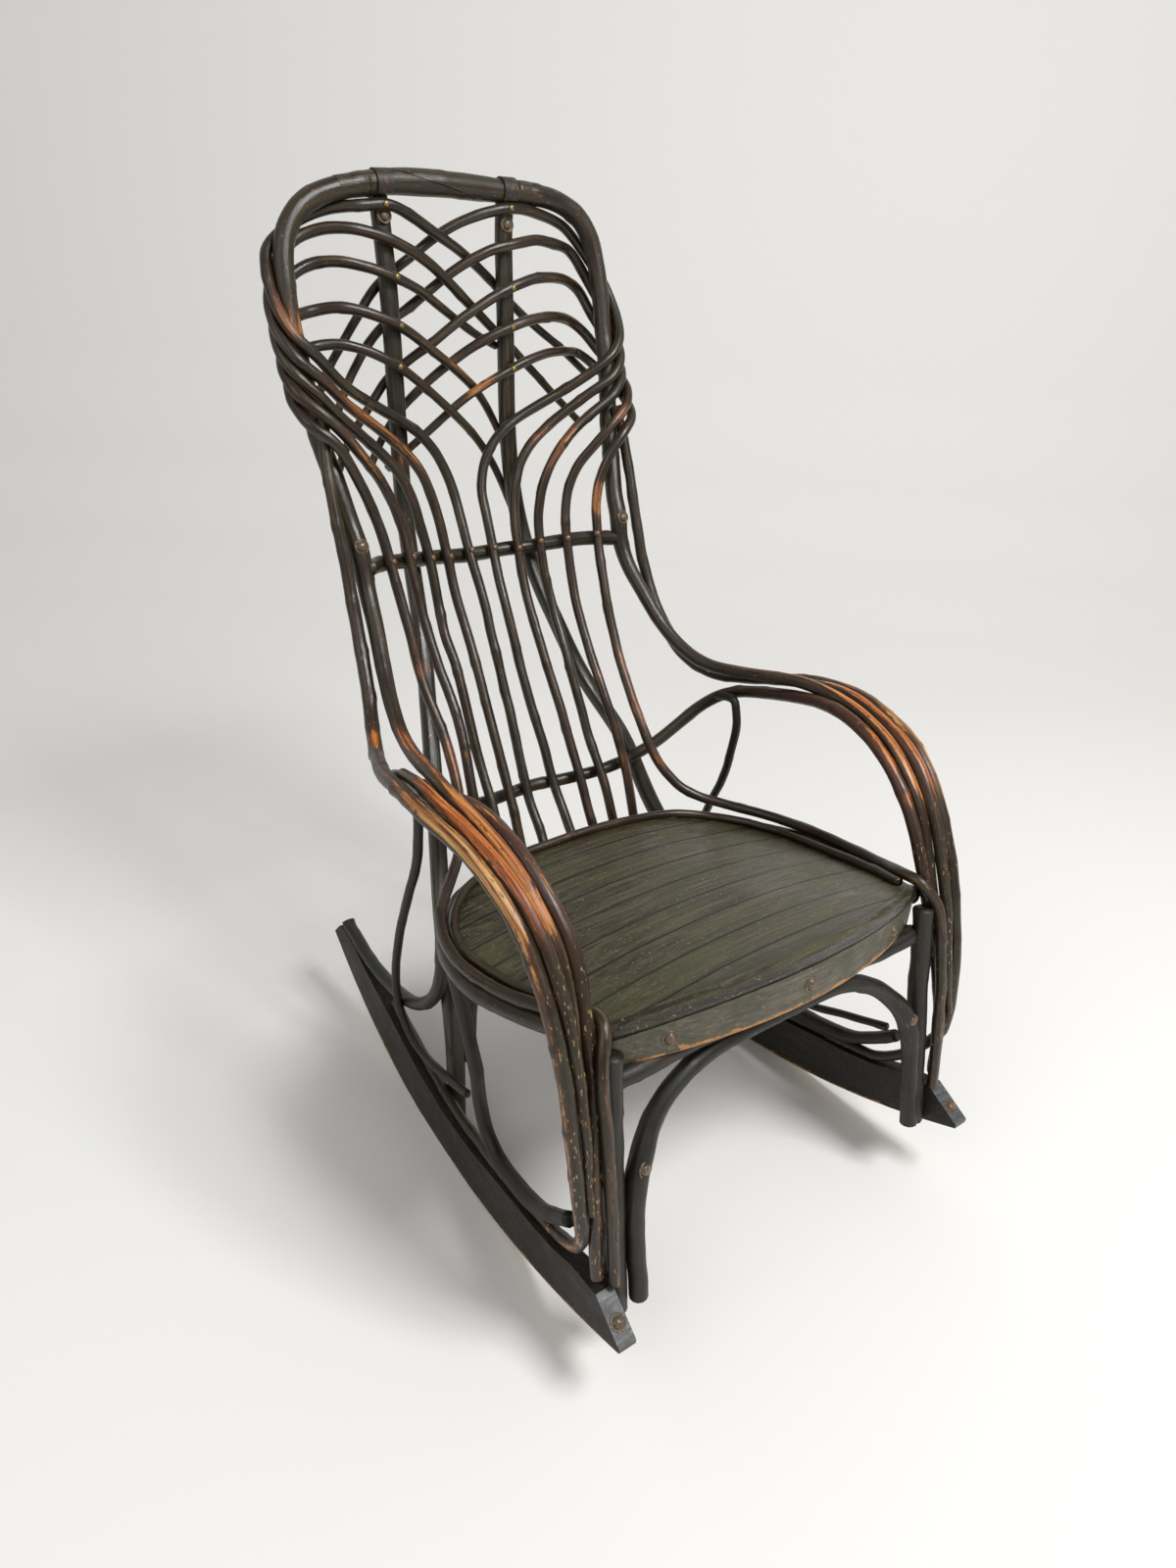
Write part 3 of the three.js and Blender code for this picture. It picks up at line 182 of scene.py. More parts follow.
rodPaint = willowMaterial("old painted willow rod", {
    "streakMm": (2.6, 60), "patchMm": (14, 40), "fineMm": (0.9, 5), "chipMm": (2, 7),
    "paint": [(0.3, "#0C0905"), (0.7, "#5C4C2D"), (0.45, "#1C160D"), (0.57, "#322817")],
    "green": "#2A2D1B", "greenAmount": 0.6, "brown": "#44291A", "rubbed": "#583820",
    "orange": [(0.36, "#2E1A0E"), (0.66, "#A4723A"), (0.45, "#5C3319"), (0.55, "#86502A")],
    "cream": [(0.3, "#6A4224"), (0.7, "#C69C64"), (0.5, "#A87840")],
    "chip": "#8E6638", "pit": "#120C07", "knot": "#1C140C",
    "roughness": (0.24, 0.42), "bumpMm": 0.3,
})
# the same old paint made darker for the rods under the seat: painted shade, for the shade that falls on the
# underframe
underframeShadedPaint = willowMaterial("willow underframe paint darkened as painted shade", {
    "streakMm": (3, 50), "patchMm": (14, 40), "fineMm": (1.2, 5), "chipMm": (2, 6),
    "paint": [(0.3, "#080503"), (0.7, "#3C301E"), (0.45, "#140E08"), (0.57, "#20180E")],
    "green": "#23271A", "greenAmount": 0.7, "brown": "#2C1B11", "rubbed": "#3C2A1A",
    "orange": [(0.36, "#2E1A0E"), (0.66, "#9A6C38"), (0.45, "#5C3319"), (0.55, "#7E4C28")],
    "cream": [(0.3, "#6A4224"), (0.7, "#C69C64"), (0.5, "#A87840")],
    "chip": "#7E5C34", "pit": "#0A0704", "knot": "#0E0A06",
    "roughness": (0.38, 0.6), "bumpMm": 0.3,
})
armWood = willowMaterial("hand polished willow arm rod", {
    "streakMm": (3.2, 85), "patchMm": (18, 55), "fineMm": (1.0, 8), "chipMm": (1.8, 6),
    "paint": [(0.3, "#0E0B06"), (0.7, "#51462D"), (0.45, "#1F190E"), (0.57, "#332A19")],
    "green": "#2C2F1E", "greenAmount": 0.85, "brown": "#4A281A", "rubbed": "#5C3820",
    "orange": [(0.36, "#361A0B"), (0.66, "#CA8B42"), (0.44, "#843D13"), (0.54, "#B6601F")],
    "cream": [(0.38, "#3E2413"), (0.66, "#CBA66E"), (0.45, "#80552B"), (0.53, "#AA7D46")],
    "chip": "#A5804C", "pit": "#2A180D", "knot": "#24160C",
    "roughness": (0.28, 0.44), "bumpMm": 0.35,
})


def sawnMaterial(name, look):
    # Sawn softwood boards under the same dark paint: flatter than the rods, with grain along the board,
    # fine pale scratches and chips, and bare wood where the worn attribute is high
    material, tree = newMaterial(name)
    place = addNode(tree, "TexCoord", out="Object")
    # noises sized across and along the board, the scratches a little aslant
    patterns = []
    for kind, aslant, detail, rough, twisted in (("grain", 0, 4, 0.6, 0.4), ("scratch", 0.12, 2, 0.5, 0)):
        wide, long = (1000 / size for size in look[kind + "Mm"])
        drawnOut = addNode(tree, "Mapping", {
            "Vector": place, "Rotation": (0, 0, aslant),
            "Scale": (long, wide, wide) if look["grainAlong"] == "x" else (wide, long, wide),
        })
        patterns.append(addNode(tree, "TexNoise", {
            "Vector": drawnOut, "Scale": 1, "Detail": detail, "Roughness": rough, "Distortion": twisted,
        }))
    grain, scratches = patterns
    blots = addNode(tree, "TexNoise", {
        "Vector": place, "Scale": 1000 / look["blotMm"], "Detail": 5, "Roughness": 0.6,
    })
    dust = addNode(tree, "TexNoise", {"Vector": place, "Scale": 1000 / look["dustMm"], "Detail": 3})
    # what lies on the paint, each with the amount of it
    layers = []
    for kind, *values in (
        ("green", blots, 0.44, 0.6), ("scratch", scratches, 0.65, 0.74), ("speck", dust, 0.64, 0.7),
    ):
        over, most = look[kind]
        layers.append((addNode(tree, "MapRange", dict(zip(rangeSockets, (*values, 0, most)))), over))
    if "seamPitchMm" in look:
        # dirt in the joints between boards, which lie at even steps across the seat
        across = addNode(tree, "SeparateXYZ", {0: place}, out="Y")
        fromSeam = addNode(tree, "Math", {0: across, 1: look["seamAtMm"] * mm}, operation="SUBTRACT")
        gap = addNode(tree, "Math", {0: fromSeam, 1: look["seamPitchMm"] / 2 * mm}, operation="PINGPONG")
        seam = addNode(tree, "MapRange", dict(zip(rangeSockets, (gap, 0.9 * mm, 1.9 * mm, 1, 0))))
        layers.append((seam, look["seam"]))
    if "bare" in look:
        # the worn edge, broken up by the blots and the dust
        worn = addNode(tree, "Attribute", out="Fac", attribute_name="worn")
        nearEdge = addNode(tree, "Math", {0: worn, 1: look["edgeSharpness"]}, operation="POWER")
        blotted = addNode(tree, "Math", {0: blots, 1: 1.4, 2: nearEdge}, operation="MULTIPLY_ADD")
        edge = addNode(tree, "Math", {0: dust, 1: 0.6, 2: blotted}, operation="MULTIPLY_ADD")
        bareAmount = addNode(tree, "MapRange", {
            "Value": edge, "From Min": look["bareFrom"], "From Max": look["bareFrom"] + 0.1,
        })
        layers.append((bareAmount, addNode(tree, "ValToRGB", {"Fac": grain}, ramp=look["bare"])))
    colour = addNode(tree, "ValToRGB", {"Fac": grain}, ramp=look["paint"])
    for amount, over in layers:
        colour = addNode(tree, "Mix", {mixAmount: amount, mixFrom: colour, mixTo: over},
                         out=mixResult, data_type="RGBA")
    roughness = addNode(tree, "MapRange", dict(zip(rangeSockets, (blots, 0.3, 0.7, *look["roughness"]))))
    height = addNode(tree, "Math", {0: dust, 1: 0.6, 2: grain}, operation="MULTIPLY_ADD")
    bump = addNode(tree, "Bump", {"Height": height, "Distance": look["bumpMm"] * mm})
    surface = addNode(tree, "BsdfPrincipled", {
        "Base Color": colour, "Roughness": roughness, "IOR": 1.5, "Normal": bump,
    })
    addNode(tree, "OutputMaterial", {"Surface": surface})
    return material


# the seat's first joint from the front, and the step from one joint to the next
seatJoints = {"atMm": -200.4, "pitchMm": 35.55}
boardPaint = sawnMaterial("old painted seat board", {
    "seamPitchMm": seatJoints["pitchMm"], "seamAtMm": seatJoints["atMm"], "seam": "#12100A",
    "grainAlong": "x", "grainMm": (3.5, 120), "blotMm": 62, "dustMm": 2.4, "scratchMm": (2.2, 60),
    "paint": [(0.36, "#262015"), (0.64, "#564E39"), (0.5, "#3D3626")],
    "green": ("#454628", 0.6), "scratch": ("#706748", 0.5), "speck": ("#8C7F5C", 0.8),
    "roughness": (0.28, 0.5), "bumpMm": 0.3,
})
nosePaint = sawnMaterial("glossy painted seat nose", {
    "grainAlong": "x", "grainMm": (4, 60), "blotMm": 30, "dustMm": 3.2, "scratchMm": (2, 12),
    "paint": [(0.34, "#17120B"), (0.68, "#413827"), (0.5, "#272014")],
    "green": ("#2C2A1A", 0.5), "scratch": ("#6E664C", 0.5), "speck": ("#847A5C", 0.9),
    "roughness": (0.18, 0.4), "bumpMm": 0.5,
})
tipPaint = sawnMaterial("pale worn paint on a rocker tip", {
    "grainAlong": "x", "grainMm": (3, 30), "blotMm": 16, "dustMm": 2.4, "scratchMm": (1.4, 16),
    "paint": [(0.3, "#2C2E2E"), (0.72, "#666A6A"), (0.5, "#4A4E4F")],
    "green": ("#3A3B36", 0.6), "scratch": ("#827C6C", 0.6), "speck": ("#8E8468", 0.8),
    "bare": [(0.3, "#8A6236"), (0.7, "#B08A56")], "bareFrom": 2.2, "edgeSharpness": 1.0,
    "roughness": (0.35, 0.55), "bumpMm": 0.3,
})
apronPaint = sawnMaterial("old painted sawn apron", {
    "grainAlong": "x", "grainMm": (3, 90), "blotMm": 26, "dustMm": 3, "scratchMm": (1.4, 40),
    "paint": [(0.3, "#3A352A"), (0.72, "#6E6552"), (0.5, "#514A3B")],
    "green": ("#3F412E", 0.6), "scratch": ("#82755A", 0.4), "speck": ("#928058", 0.5),
    "bare": [(0.3, "#8A5626"), (0.7, "#BC8A4C")], "bareFrom": 1.6, "edgeSharpness": 5.0,
    "roughness": (0.4, 0.6), "bumpMm": 0.25,
})
# the rockers' own near-black paint, made darker still: partly painted shade, for the shade under the seat
rockerPaintAndShade = sawnMaterial("old painted sawn rocker with painted shade", {
    "grainAlong": "y", "grainMm": (3.5, 120), "blotMm": 34, "dustMm": 3, "scratchMm": (1.6, 45),
    "paint": [(0.34, "#0D0804"), (0.68, "#2E2417"), (0.5, "#191008")],
    "green": ("#1E1910", 0.5), "scratch": ("#4A4338", 0.35), "speck": ("#6A5E48", 0.4),
    "bare": [(0.3, "#7A5630"), (0.7, "#A07E4E")], "bareFrom": 1.72, "edgeSharpness": 9.0,
    "roughness": (0.55, 0.75), "bumpMm": 0.25,
})


def oldMetalMaterial(name, look):
    # Iron, copper or brass fastenings painted with the chair: dull dark paint, worn off their crowns to
    # half bright metal
    material, tree = newMaterial(name)
    place = addNode(tree, "TexCoord", out="Object")
    blots = addNode(tree, "TexNoise", {"Vector": place, "Scale": 1000 / look["blotMm"], "Detail": 4})
    paintAmount = addNode(tree, "MapRange", {
        "Value": blots, "From Min": look["paintFrom"], "From Max": look["paintFrom"] + 0.08,
    })
    colour = addNode(tree, "Mix", {
        mixAmount: paintAmount, mixFrom: look["metal"], mixTo: look["paint"],
    }, out=mixResult, data_type="RGBA")
    metallic = addNode(tree, "MapRange", {"Value": paintAmount, "To Min": look["metallic"], "To Max": 0})
    bump = addNode(tree, "Bump", {"Height": blots, "Distance": look["bumpMm"] * mm})
    surface = addNode(tree, "BsdfPrincipled", {
        "Base Color": colour, "Metallic": metallic, "Roughness": look["roughness"], "Normal": bump,
    })
    addNode(tree, "OutputMaterial", {"Surface": surface})
    return material


boltPaint = oldMetalMaterial("painted iron bolt", {
    "blotMm": 3, "paintFrom": 0.38, "metal": "#8E6E4E", "paint": "#574C3B", "metallic": 0.3,
    "roughness": 0.34, "bumpMm": 0.15,
})
nailCopper = oldMetalMaterial("dull copper nail", {
    "blotMm": 3, "paintFrom": 0.6, "metal": "#7A5E46", "paint": "#33261B", "metallic": 0.5,
    "roughness": 0.36, "bumpMm": 0.1,
})
nailBrass = oldMetalMaterial("worn brass nail", {
    "blotMm": 2, "paintFrom": 0.56, "metal": "#9A8450", "paint": "#3A2F20", "metallic": 0.8,
    "roughness": 0.38, "bumpMm": 0.1,
})
strapIron = oldMetalMaterial("painted iron strap", {
    "blotMm": 4, "paintFrom": 0.34, "metal": "#6A4A32", "paint": "#2A241C", "metallic": 0.3,
    "roughness": 0.5, "bumpMm": 0.25,
})
print("materials made")


def smoothAll(bm):
    for face in bm.faces:
        face.smooth = True


def meshObject(name, bm, material):
    mesh = bpy.data.meshes.new(name)
    bm.to_mesh(mesh)
    bm.free()
    mesh.materials.append(material)
    return newObject(name, mesh)


def placePiece(name, bm, material, nodeNames=()):
    # a finished bmesh becomes an object of the chair
    piece = meshObject(name, bm, material)
    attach(piece, "root")
    for nodeName in nodeNames:
        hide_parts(nodeName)
    return piece


def mergedSolid(nodeName):
    bm = bmesh.new()
    bm.from_mesh(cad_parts[nodeName].data)
    bmesh.ops.remove_doubles(bm, verts=bm.verts[:], dist=0.02 * mm)
    return bm


def within(value, start, span):
    # how far a value is into a span, from none at its start to one at its end
    return min(1, max(0, (value - start) / span))


def blend(low, high, share):
    return low + (high - low) * share


def lengthsOf(vectors):
    return np.linalg.norm(vectors, axis=-1)


def unit(vector):
    return vector / np.linalg.norm(vector)


def lengthsAlong(path):
    # how far along a path each of its points lies
    return np.concatenate([[0], np.cumsum(lengthsOf(np.diff(path, axis=0)))])


# how a solid rod is walked: lengths in millimetres, reaches and sizes in radii of the rod, counts in steps
walk = {
    "stepMm": 3, "mostSteps": 3000, "startInsetMm": 6, "startReachMm": 34, "startCornersMm": 12,
    "longEdge": 0.75, "fewestCrossings": 5, "sizePercentile": 90, "sectionReach": 2.3, "leastSize": 0.8,
    "recentSteps": 6, "notchSize": 0.62, "cornerReach": 2.2, "jumpReachMm": 60, "fewestCorners": 4,
    "walkedSteps": 60, "headingSteps": 4, "headingShare": 0.4, "endGapMm": 0.3, "radiusSteps": 8,
}


def sectionAt(starts, ends, place, along, reach, boxed=False):
    # where a rod's edges cross a plane: the middle and the size of its section
    before = (starts - place) @ along
    after = (ends - place) @ along
    crossing = (before < 0) != (after < 0)
    share = before[crossing] / (before[crossing] - after[crossing])
    found = starts[crossing] + share[:, None] * (ends[crossing] - starts[crossing])
    found = found[lengthsOf(found - place) < reach]
    if len(found) < walk["fewestCrossings"]:
        return None, 0
    middle = found.mean(axis=0)
    if boxed:
        # a notched bar has more edges on its notched side, so its middle is that of its box
        across = unit(np.cross(along, (0.0, 0.0, 1.0)) + np.array((1e-9, 0, 0)))
        for axis in (across, np.cross(along, across)):
            spread = (found - middle) @ axis
            middle = middle + axis * (spread.max() + spread.min()) / 2
    return middle, np.percentile(lengthsOf(found - middle), walk["sizePercentile"])


def solidEdges(nodeNames):
    # both ends of every edge of some solids
    starts, ends = [], []
    for nodeName in nodeNames:
        bm = mergedSolid(nodeName)
        starts.extend(e.verts[0].co[:] for e in bm.edges)
        ends.extend(e.verts[1].co[:] for e in bm.edges)
        bm.free()
    return np.array(starts), np.array(ends)


def nearestCorners(corners, line, radius):
    # the group of corners not yet passed that lies nearest ahead, or none at the rod's end
    ahead = corners[lengthsOf(corners - line[-1]) < walk["jumpReachMm"] * mm]
    walked = np.array(line[-walk["walkedSteps"]:])
    passed = np.min(lengthsOf(ahead[:, None, :] - walked[None, :, :]), axis=1)
    ahead = ahead[passed > walk["cornerReach"] * radius]
    if len(ahead) < walk["fewestCorners"]:
        return None
    nearest = ahead[np.argmin(lengthsOf(ahead - line[-1]))]
    return ahead[lengthsOf(ahead - nearest) < walk["cornerReach"] * radius]


def followRod(nodeNames, startsToward, boxed=False):
    # walks along a solid rod from one end to the other and gives its centre line and radii
    starts, ends = solidEdges(nodeNames)
    corners = np.concatenate([starts, ends])
    first = corners[np.argmax(corners @ np.array(startsToward))]
    # the long edges beside the first corner run along the rod
    beside = lengthsOf(corners - first) < walk["startCornersMm"] * mm
    fromFirst = np.concatenate([ends - starts, starts - ends])[beside]
    spans = lengthsOf(fromFirst)
    along = unit(fromFirst[spans > walk["longEdge"] * spans.max()].mean(axis=0))
    inset = walk["startInsetMm"] * mm
    middle, radius = sectionAt(starts, ends, first + along * inset, along, walk["startReachMm"] * mm)
    line, radii = [middle - along * inset, middle], [radius, radius]
    while len(line) < walk["mostSteps"]:
        guess = line[-1] + along * walk["stepMm"] * mm
        radius = max(walk["leastSize"] * radii[0], np.median(radii[-walk["recentSteps"]:]))
        middle, size = sectionAt(starts, ends, guess, along, walk["sectionReach"] * radius, boxed)
        if middle is None or size < walk["notchSize"] * radius:
            # a notch, a sharp bend or the rod's end: on to the nearest corners not yet passed
            group = nearestCorners(corners, line, radius)
            if group is None:
                break
            middle = group.mean(axis=0)
            along = unit(middle - line[-1])
            line.append(middle)
            radii.append(radii[-1])
            continue
        line.append(middle)
        radii.append(size)
        back = line[max(0, len(line) - walk["headingSteps"])]
        share = walk["headingShare"]
        along = unit(along * (1 - share) + unit(middle - back) * share)
    ahead = corners[lengthsOf(corners - line[-1]) < walk["cornerReach"] * radius]
    beyond = ((ahead - line[-1]) @ along).max() if len(ahead) else 0
    if beyond > walk["endGapMm"] * mm:
        line.append(line[-1] + along * beyond)
        radii.append(radii[-1])
    # notches read thin, so each radius is the middle one of those near it
    near = walk["radiusSteps"]
    radii = [np.median(radii[max(0, i - near):i + near + 1]) for i in range(len(radii))]
    return np.array(line), np.array(radii)


def readAt(at, lengths, columns):
    return np.column_stack([np.interp(at, lengths, column) for column in columns.T])


def evened(line, radii, smoothMm, ringMm):
    # the walked line at even steps, smoothed with its ends kept
    fineMm = 2
    lengths = lengthsAlong(line)
    fineCount = max(8, int(lengths[-1] / (fineMm * mm)))
    fineAt = np.linspace(0, lengths[-1], fineCount)
    values = readAt(fineAt, lengths, np.column_stack([line, radii]))
    reach = min(int(3 * smoothMm / fineMm), fineCount - 1)
    kernel = np.exp(-0.5 * (np.arange(-reach, reach + 1) * fineMm / smoothMm) ** 2)
    kernel /= kernel.sum()
    # both ends are turned over, so that the smoothing leaves them in place
    before, after = values[reach:0:-1], values[-2:-reach - 2:-1]
    padded = np.concatenate([2 * values[0] - before, values, 2 * values[-1] - after])
    smooth = np.column_stack([np.convolve(column, kernel, "valid") for column in padded.T])
    at = np.linspace(0, lengths[-1], max(4, int(lengths[-1] / (ringMm * mm))))
    smooth = readAt(at, fineAt, smooth)
    return smooth[:, :3], smooth[:, 3]


# how a rod is made, apart from what its own call changes: knots, lumps and stubs in shares of its radius
rodMaking = {
    "smoothMm": 8, "ringMm": 5, "sides": 12, "fullness": 1.07, "section": None,
    "endRounding": ((0.0, 0.78), (0.5, 0.93), (1.6, 1.0)), "endClearMm": 3,
    "lumpShare": 0.07, "lumpLengthMm": 20, "wanderMm": 0.8, "wanderLengthMm": 42, "wanderEndMm": 15,
    "knotGapMm": (35, 110), "knotLengthMm": 4, "knotReachMm": 14, "knotShare": 0.2, "offKnotSide": 0.3,
    "wear": 0.0, "wearSide": (0, -0.7, 0.7), "crestFrom": 0.5, "crestSpan": 0.35, "offCrest": 0.35,
    "spotGain": 1.12, "spotPixels": 7, "offSpotSide": 0.4, "edgeSide": (0, -1, 0), "offEdgeSide": 0.5,
    "flecks": 0.0, "tone": 0.15, "knotTone": 0.3, "pale": 0.0,
    "stubPixels": 4, "stubLength": 2.9, "stubFoot": 0.5, "stubTip": 0.3,
}
# places in the picture where the paint is rubbed through: across, down, half length, and the
# amount in hundredths
wornSpots = [
    (386, 759, 16, 50), (371, 663, 26, 36), (368, 616, 22, 38), (412, 754, 16, 36),
    (431, 685, 12, 46), (425, 659, 14, 36), (462, 786, 24, 52), (455, 765, 14, 34),
    (463, 734, 9, 30), (471, 765, 16, 36), (457, 649, 10, 28), (471, 693, 14, 34),
    (522, 647, 22, 28), (562, 699, 26, 24), (612, 690, 12, 56), (634, 674, 28, 42),
    (648, 723, 22, 54), (669, 775, 15, 46), (626, 743, 14, 46), (628, 770, 12, 30),
    (615, 797, 15, 30), (629, 833, 12, 26), (600, 819, 20, 26), (578, 850, 12, 34),
    (643, 789, 18, 32), (602, 510, 18, 54), (550, 517, 15, 40), (656, 562, 13, 40),
    (289, 319, 26, 40), (296, 340, 20, 38), (271, 288, 26, 28), (317, 376, 20, 30),
    (350, 411, 30, 42), (368, 422, 26, 44), (404, 458, 40, 50), (417, 483, 26, 48),
    (427, 509, 20, 34), (363, 458, 25, 38), (378, 483, 20, 30), (445, 314, 11, 46),
    (486, 396, 14, 40), (466, 370, 22, 40), (496, 391, 24, 32), (548, 447, 26, 42),
    (558, 473, 26, 44), (573, 452, 20, 34), (604, 504, 20, 50), (589, 437, 20, 30),
    (632, 417, 11, 40), (630, 427, 12, 34), (596, 386, 12, 30), (760, 716, 14, 34),
    (788, 708, 14, 28), (888, 756, 16, 26), (908, 780, 16, 28), (918, 816, 14, 34),
    (922, 836, 14, 38), (926, 856, 12, 30),
]
# places in the picture where a twig was cut off and left a stub: across, down
twigStubs = [(335, 225), (496, 354), (508, 430), (319, 457), (413, 470), (300, 312), (560, 330)]


def ringStops(lengths, look):
    # where a rod's rings go, closer at its two rounded ends, and how far each is drawn in
    total, clear = lengths[-1], look["endClearMm"] * mm
    rounding = [(at * mm, trim) for at, trim in look["endRounding"]]
    between = [s for s in lengths[1:-1] if clear < s < total - clear]
    stops = [at for at, _ in rounding] + between + [total - at for at, _ in reversed(rounding)]
    trims = [trim for _, trim in rounding]
    return stops, trims + [1.0] * len(between) + trims[::-1]


def ringPlaces(path, facing=None):
    # a frame for each ring of a rod: side, other side, along, place
    alongs = np.gradient(path, axis=0)
    side = Vector(alongs[0]).orthogonal()
    places = []
    for place, along in zip(path, alongs):
        along = Vector(along).normalized()
        side = Vector(facing or side)
        side = (side - along * side.dot(along)).normalized()
        turn = Matrix((side, along.cross(side), along)).transposed().to_4x4()
        places.append(Matrix.Translation(place) @ turn)
    return places


def extrudeRings(bm, shapes, sides):
    # one circle drawn out from ring to ring and closed at both ends; gives each ring's corners
    ring = bmesh.ops.create_circle(bm, cap_ends=False, radius=1, segments=sides, matrix=shapes[0])["verts"]
    edges = bm.edges[:]
    rings = [ring]
    for last, shape in zip(shapes, shapes[1:]):
        made = bmesh.ops.extrude_edge_only(bm, edges=edges)["geom"]
        ring = [part for part in made if isinstance(part, bmesh.types.BMVert)]
        fresh = set(ring)
        edges = [part for part in made if isinstance(part, bmesh.types.BMEdge) and set(part.verts) <= fresh]
        bmesh.ops.transform(bm, matrix=shape @ last.inverted(), verts=ring)
        rings.append(ring)
    bmesh.ops.holes_fill(bm, edges=[e for e in bm.edges if e.is_boundary], sides=0)
    return rings


def rodKnots(dice, total, look):
    # a rod's knots: how far along, on which side, and how proud
    knots = []
    at = dice.uniform(0, look["knotGapMm"][1]) * mm
    while at < total:
        knots.append((at, dice.uniform(0, 2 * math.pi), dice.uniform(0.4, 1) * look["knotShare"]))
        at += dice.uniform(*look["knotGapMm"]) * mm
    return knots


def spotsOn(seen, look):
    # the worn spots that lie on a rod whose rings are seen at these places
    spots = []
    for across, down, half, amount in wornSpots:
        gaps = [np.hypot(s[0] - across, s[1] - down) for s in seen]
        if min(gaps) < look["spotPixels"]:
            spots.append((gaps, half, amount / 100))
    return spots


def lumpsAndKnots(out, lean, at, shift, knots, look):
    # how far a point of a rod's skin swells, and how near a knot it is
    swell = look["lumpShare"] * noise.noise(Vector((out.x, out.y, at / (look["lumpLengthMm"] * mm) + shift)))
    nearKnot = 0
    for knotAt, knotLean, knotSize in knots:
        if abs(at - knotAt) < look["knotReachMm"] * mm:
            bulge = math.exp(-((at - knotAt) / (look["knotLengthMm"] * mm)) ** 2)
            facing = max(0, math.cos(lean - knotLean)) ** 2
            swell += knotSize * bulge * blend(look["offKnotSide"], 1, facing)
            nearKnot = max(nearKnot, bulge * facing)
    return swell, nearKnot


def wanderOff(at, total, shift, look):
    # how far a rod strays from its smooth line, less towards its ends
    ends = min(1, at / (look["wanderEndMm"] * mm), (total - at) / (look["wanderEndMm"] * mm))
    step = at / (look["wanderLengthMm"] * mm)
    sideways = (noise.noise(Vector((step, shift, 0))), noise.noise(Vector((step, shift, 9))), 0)
    return Vector(sideways) * look["wanderMm"] * mm * ends


def squared(out, section):
    # the circle's direction on a soft rectangle of the section's widths
    square = section["squareness"]
    spread = section["widths"][0] / section["widths"][1]
    return Vector((
        math.copysign(abs(out.x) ** square, out.x), math.copysign(abs(out.y) ** square, out.y) / spread, 0,
    ))


def addStub(bm, place, radius, dice, look):
    # the stub of a twig, leaning out of a rod
    lean = Matrix.Rotation(dice.uniform(0.6, 1.0), 4, "X") @ Matrix.Rotation(dice.uniform(0, 6), 4, "Z")
    bmesh.ops.create_cone(
        bm, cap_ends=True, segments=8, radius1=look["stubFoot"] * radius, radius2=look["stubTip"] * radius,
        depth=look["stubLength"] * radius, matrix=place @ lean,
    )


def sweepRod(bm, path, radii, look, seed):
    # extrudes one circle along the path, then gives each ring its lumps, knots, grain place and wear
    grainLayer = bm.verts.layers.float_vector.new("grainPlace")
    layers = {name: bm.verts.layers.float.new(name) for name in ("wear", "flecks", "tone", "pale", "knot")}
    dice = random.Random(seed)
    section = look["section"]
    lengths = lengthsAlong(path)
    total = lengths[-1]
    stops, trims = ringStops(lengths, look)
    path = readAt(stops, lengths, path)
    radii = np.interp(stops, lengths, radii) * look["fullness"]
    places = ringPlaces(path, section["facing"] if section else None)
    sizes = [Matrix.Diagonal((radius * trim, radius * trim, 1, 1)) for radius, trim in zip(radii, trims)]
    shapes = [place @ size for place, size in zip(places, sizes)]
    rings = extrudeRings(bm, shapes, look["sides"])
    knots = rodKnots(dice, total, look)
    seen = [seenAt(place) for place in path]
    spots = spotsOn(seen, look)
    wearSide, edgeSide = Vector(look["wearSide"]).normalized(), Vector(look["edgeSide"])
    shift = dice.uniform(0, 40)
    for i, ring in enumerate(rings):
        at, radius, place = stops[i], radii[i], places[i]
        inward = shapes[i].inverted()
        wander = wanderOff(at, total, shift, look)
        spotWear = sum(amount * math.exp(-(gaps[i] / half) ** 2) for gaps, half, amount in spots)
        spotWear *= look["spotGain"]
        here = {"edge": 0, **look, **(look["along"](path[i]) if "along" in look else {})}
        for v in ring:
            flat = inward @ v.co
            flat.z = 0
            lean = math.atan2(flat.y, flat.x)
            out = Vector((math.cos(lean), math.sin(lean), 0))
            swell, nearKnot = lumpsAndKnots(out, lean, at, shift, knots, look)
            if section:
                out = squared(out, section)
            flat = out * flat.length * (1 + swell)
            local = Vector((flat.x * radius, flat.y * radius, 0)) + wander
            outward = (place.to_3x3() @ out).normalized()
            toSide, toEdge = max(0, outward.dot(wearSide)), max(0, outward.dot(edgeSide))
            crest = within(toSide, look["crestFrom"], look["crestSpan"])
            v.co = place @ local
            v[grainLayer] = Vector((local.x, local.y, at + shift))
            v[layers["wear"]] = (
                here["wear"] * blend(look["offCrest"], 1, crest)
                + spotWear * blend(look["offSpotSide"], 1, toSide) + here["edge"] * toEdge ** 3
            )
            v[layers["knot"]] = nearKnot ** 2
            v[layers["flecks"]] = here["flecks"] * blend(look["offEdgeSide"], 1, toEdge)
            v[layers["tone"]] = here["tone"] + look["knotTone"] * nearKnot
            v[layers["pale"]] = here["pale"]
    for across, down in twigStubs:
        gaps = [np.hypot(s[0] - across, s[1] - down) for s in seen]
        i = int(np.argmin(gaps))
        if gaps[i] < look["stubPixels"] and "along" not in look:
            addStub(bm, places[i], radii[i], dice, look)
    smoothAll(bm)
    bmesh.ops.recalc_face_normals(bm, faces=bm.faces[:])


rodLines = {}


def makeRod(nodeName, startsToward, material, slot, **changes):
    # a bent rod that takes the place of its solid, with what differs from the common making
    look = {**rodMaking, **changes}
    line, radii = followRod([nodeName], startsToward, boxed=bool(look["section"]))
    path, radii = evened(line, radii, look["smoothMm"], look["ringMm"])
    rodLines[nodeName] = (path, radii)
    bm = bmesh.new()
    sweepRod(bm, path, radii, look, nodeName)
    placePiece(nodeName + "_bent", bm, material, [nodeName])


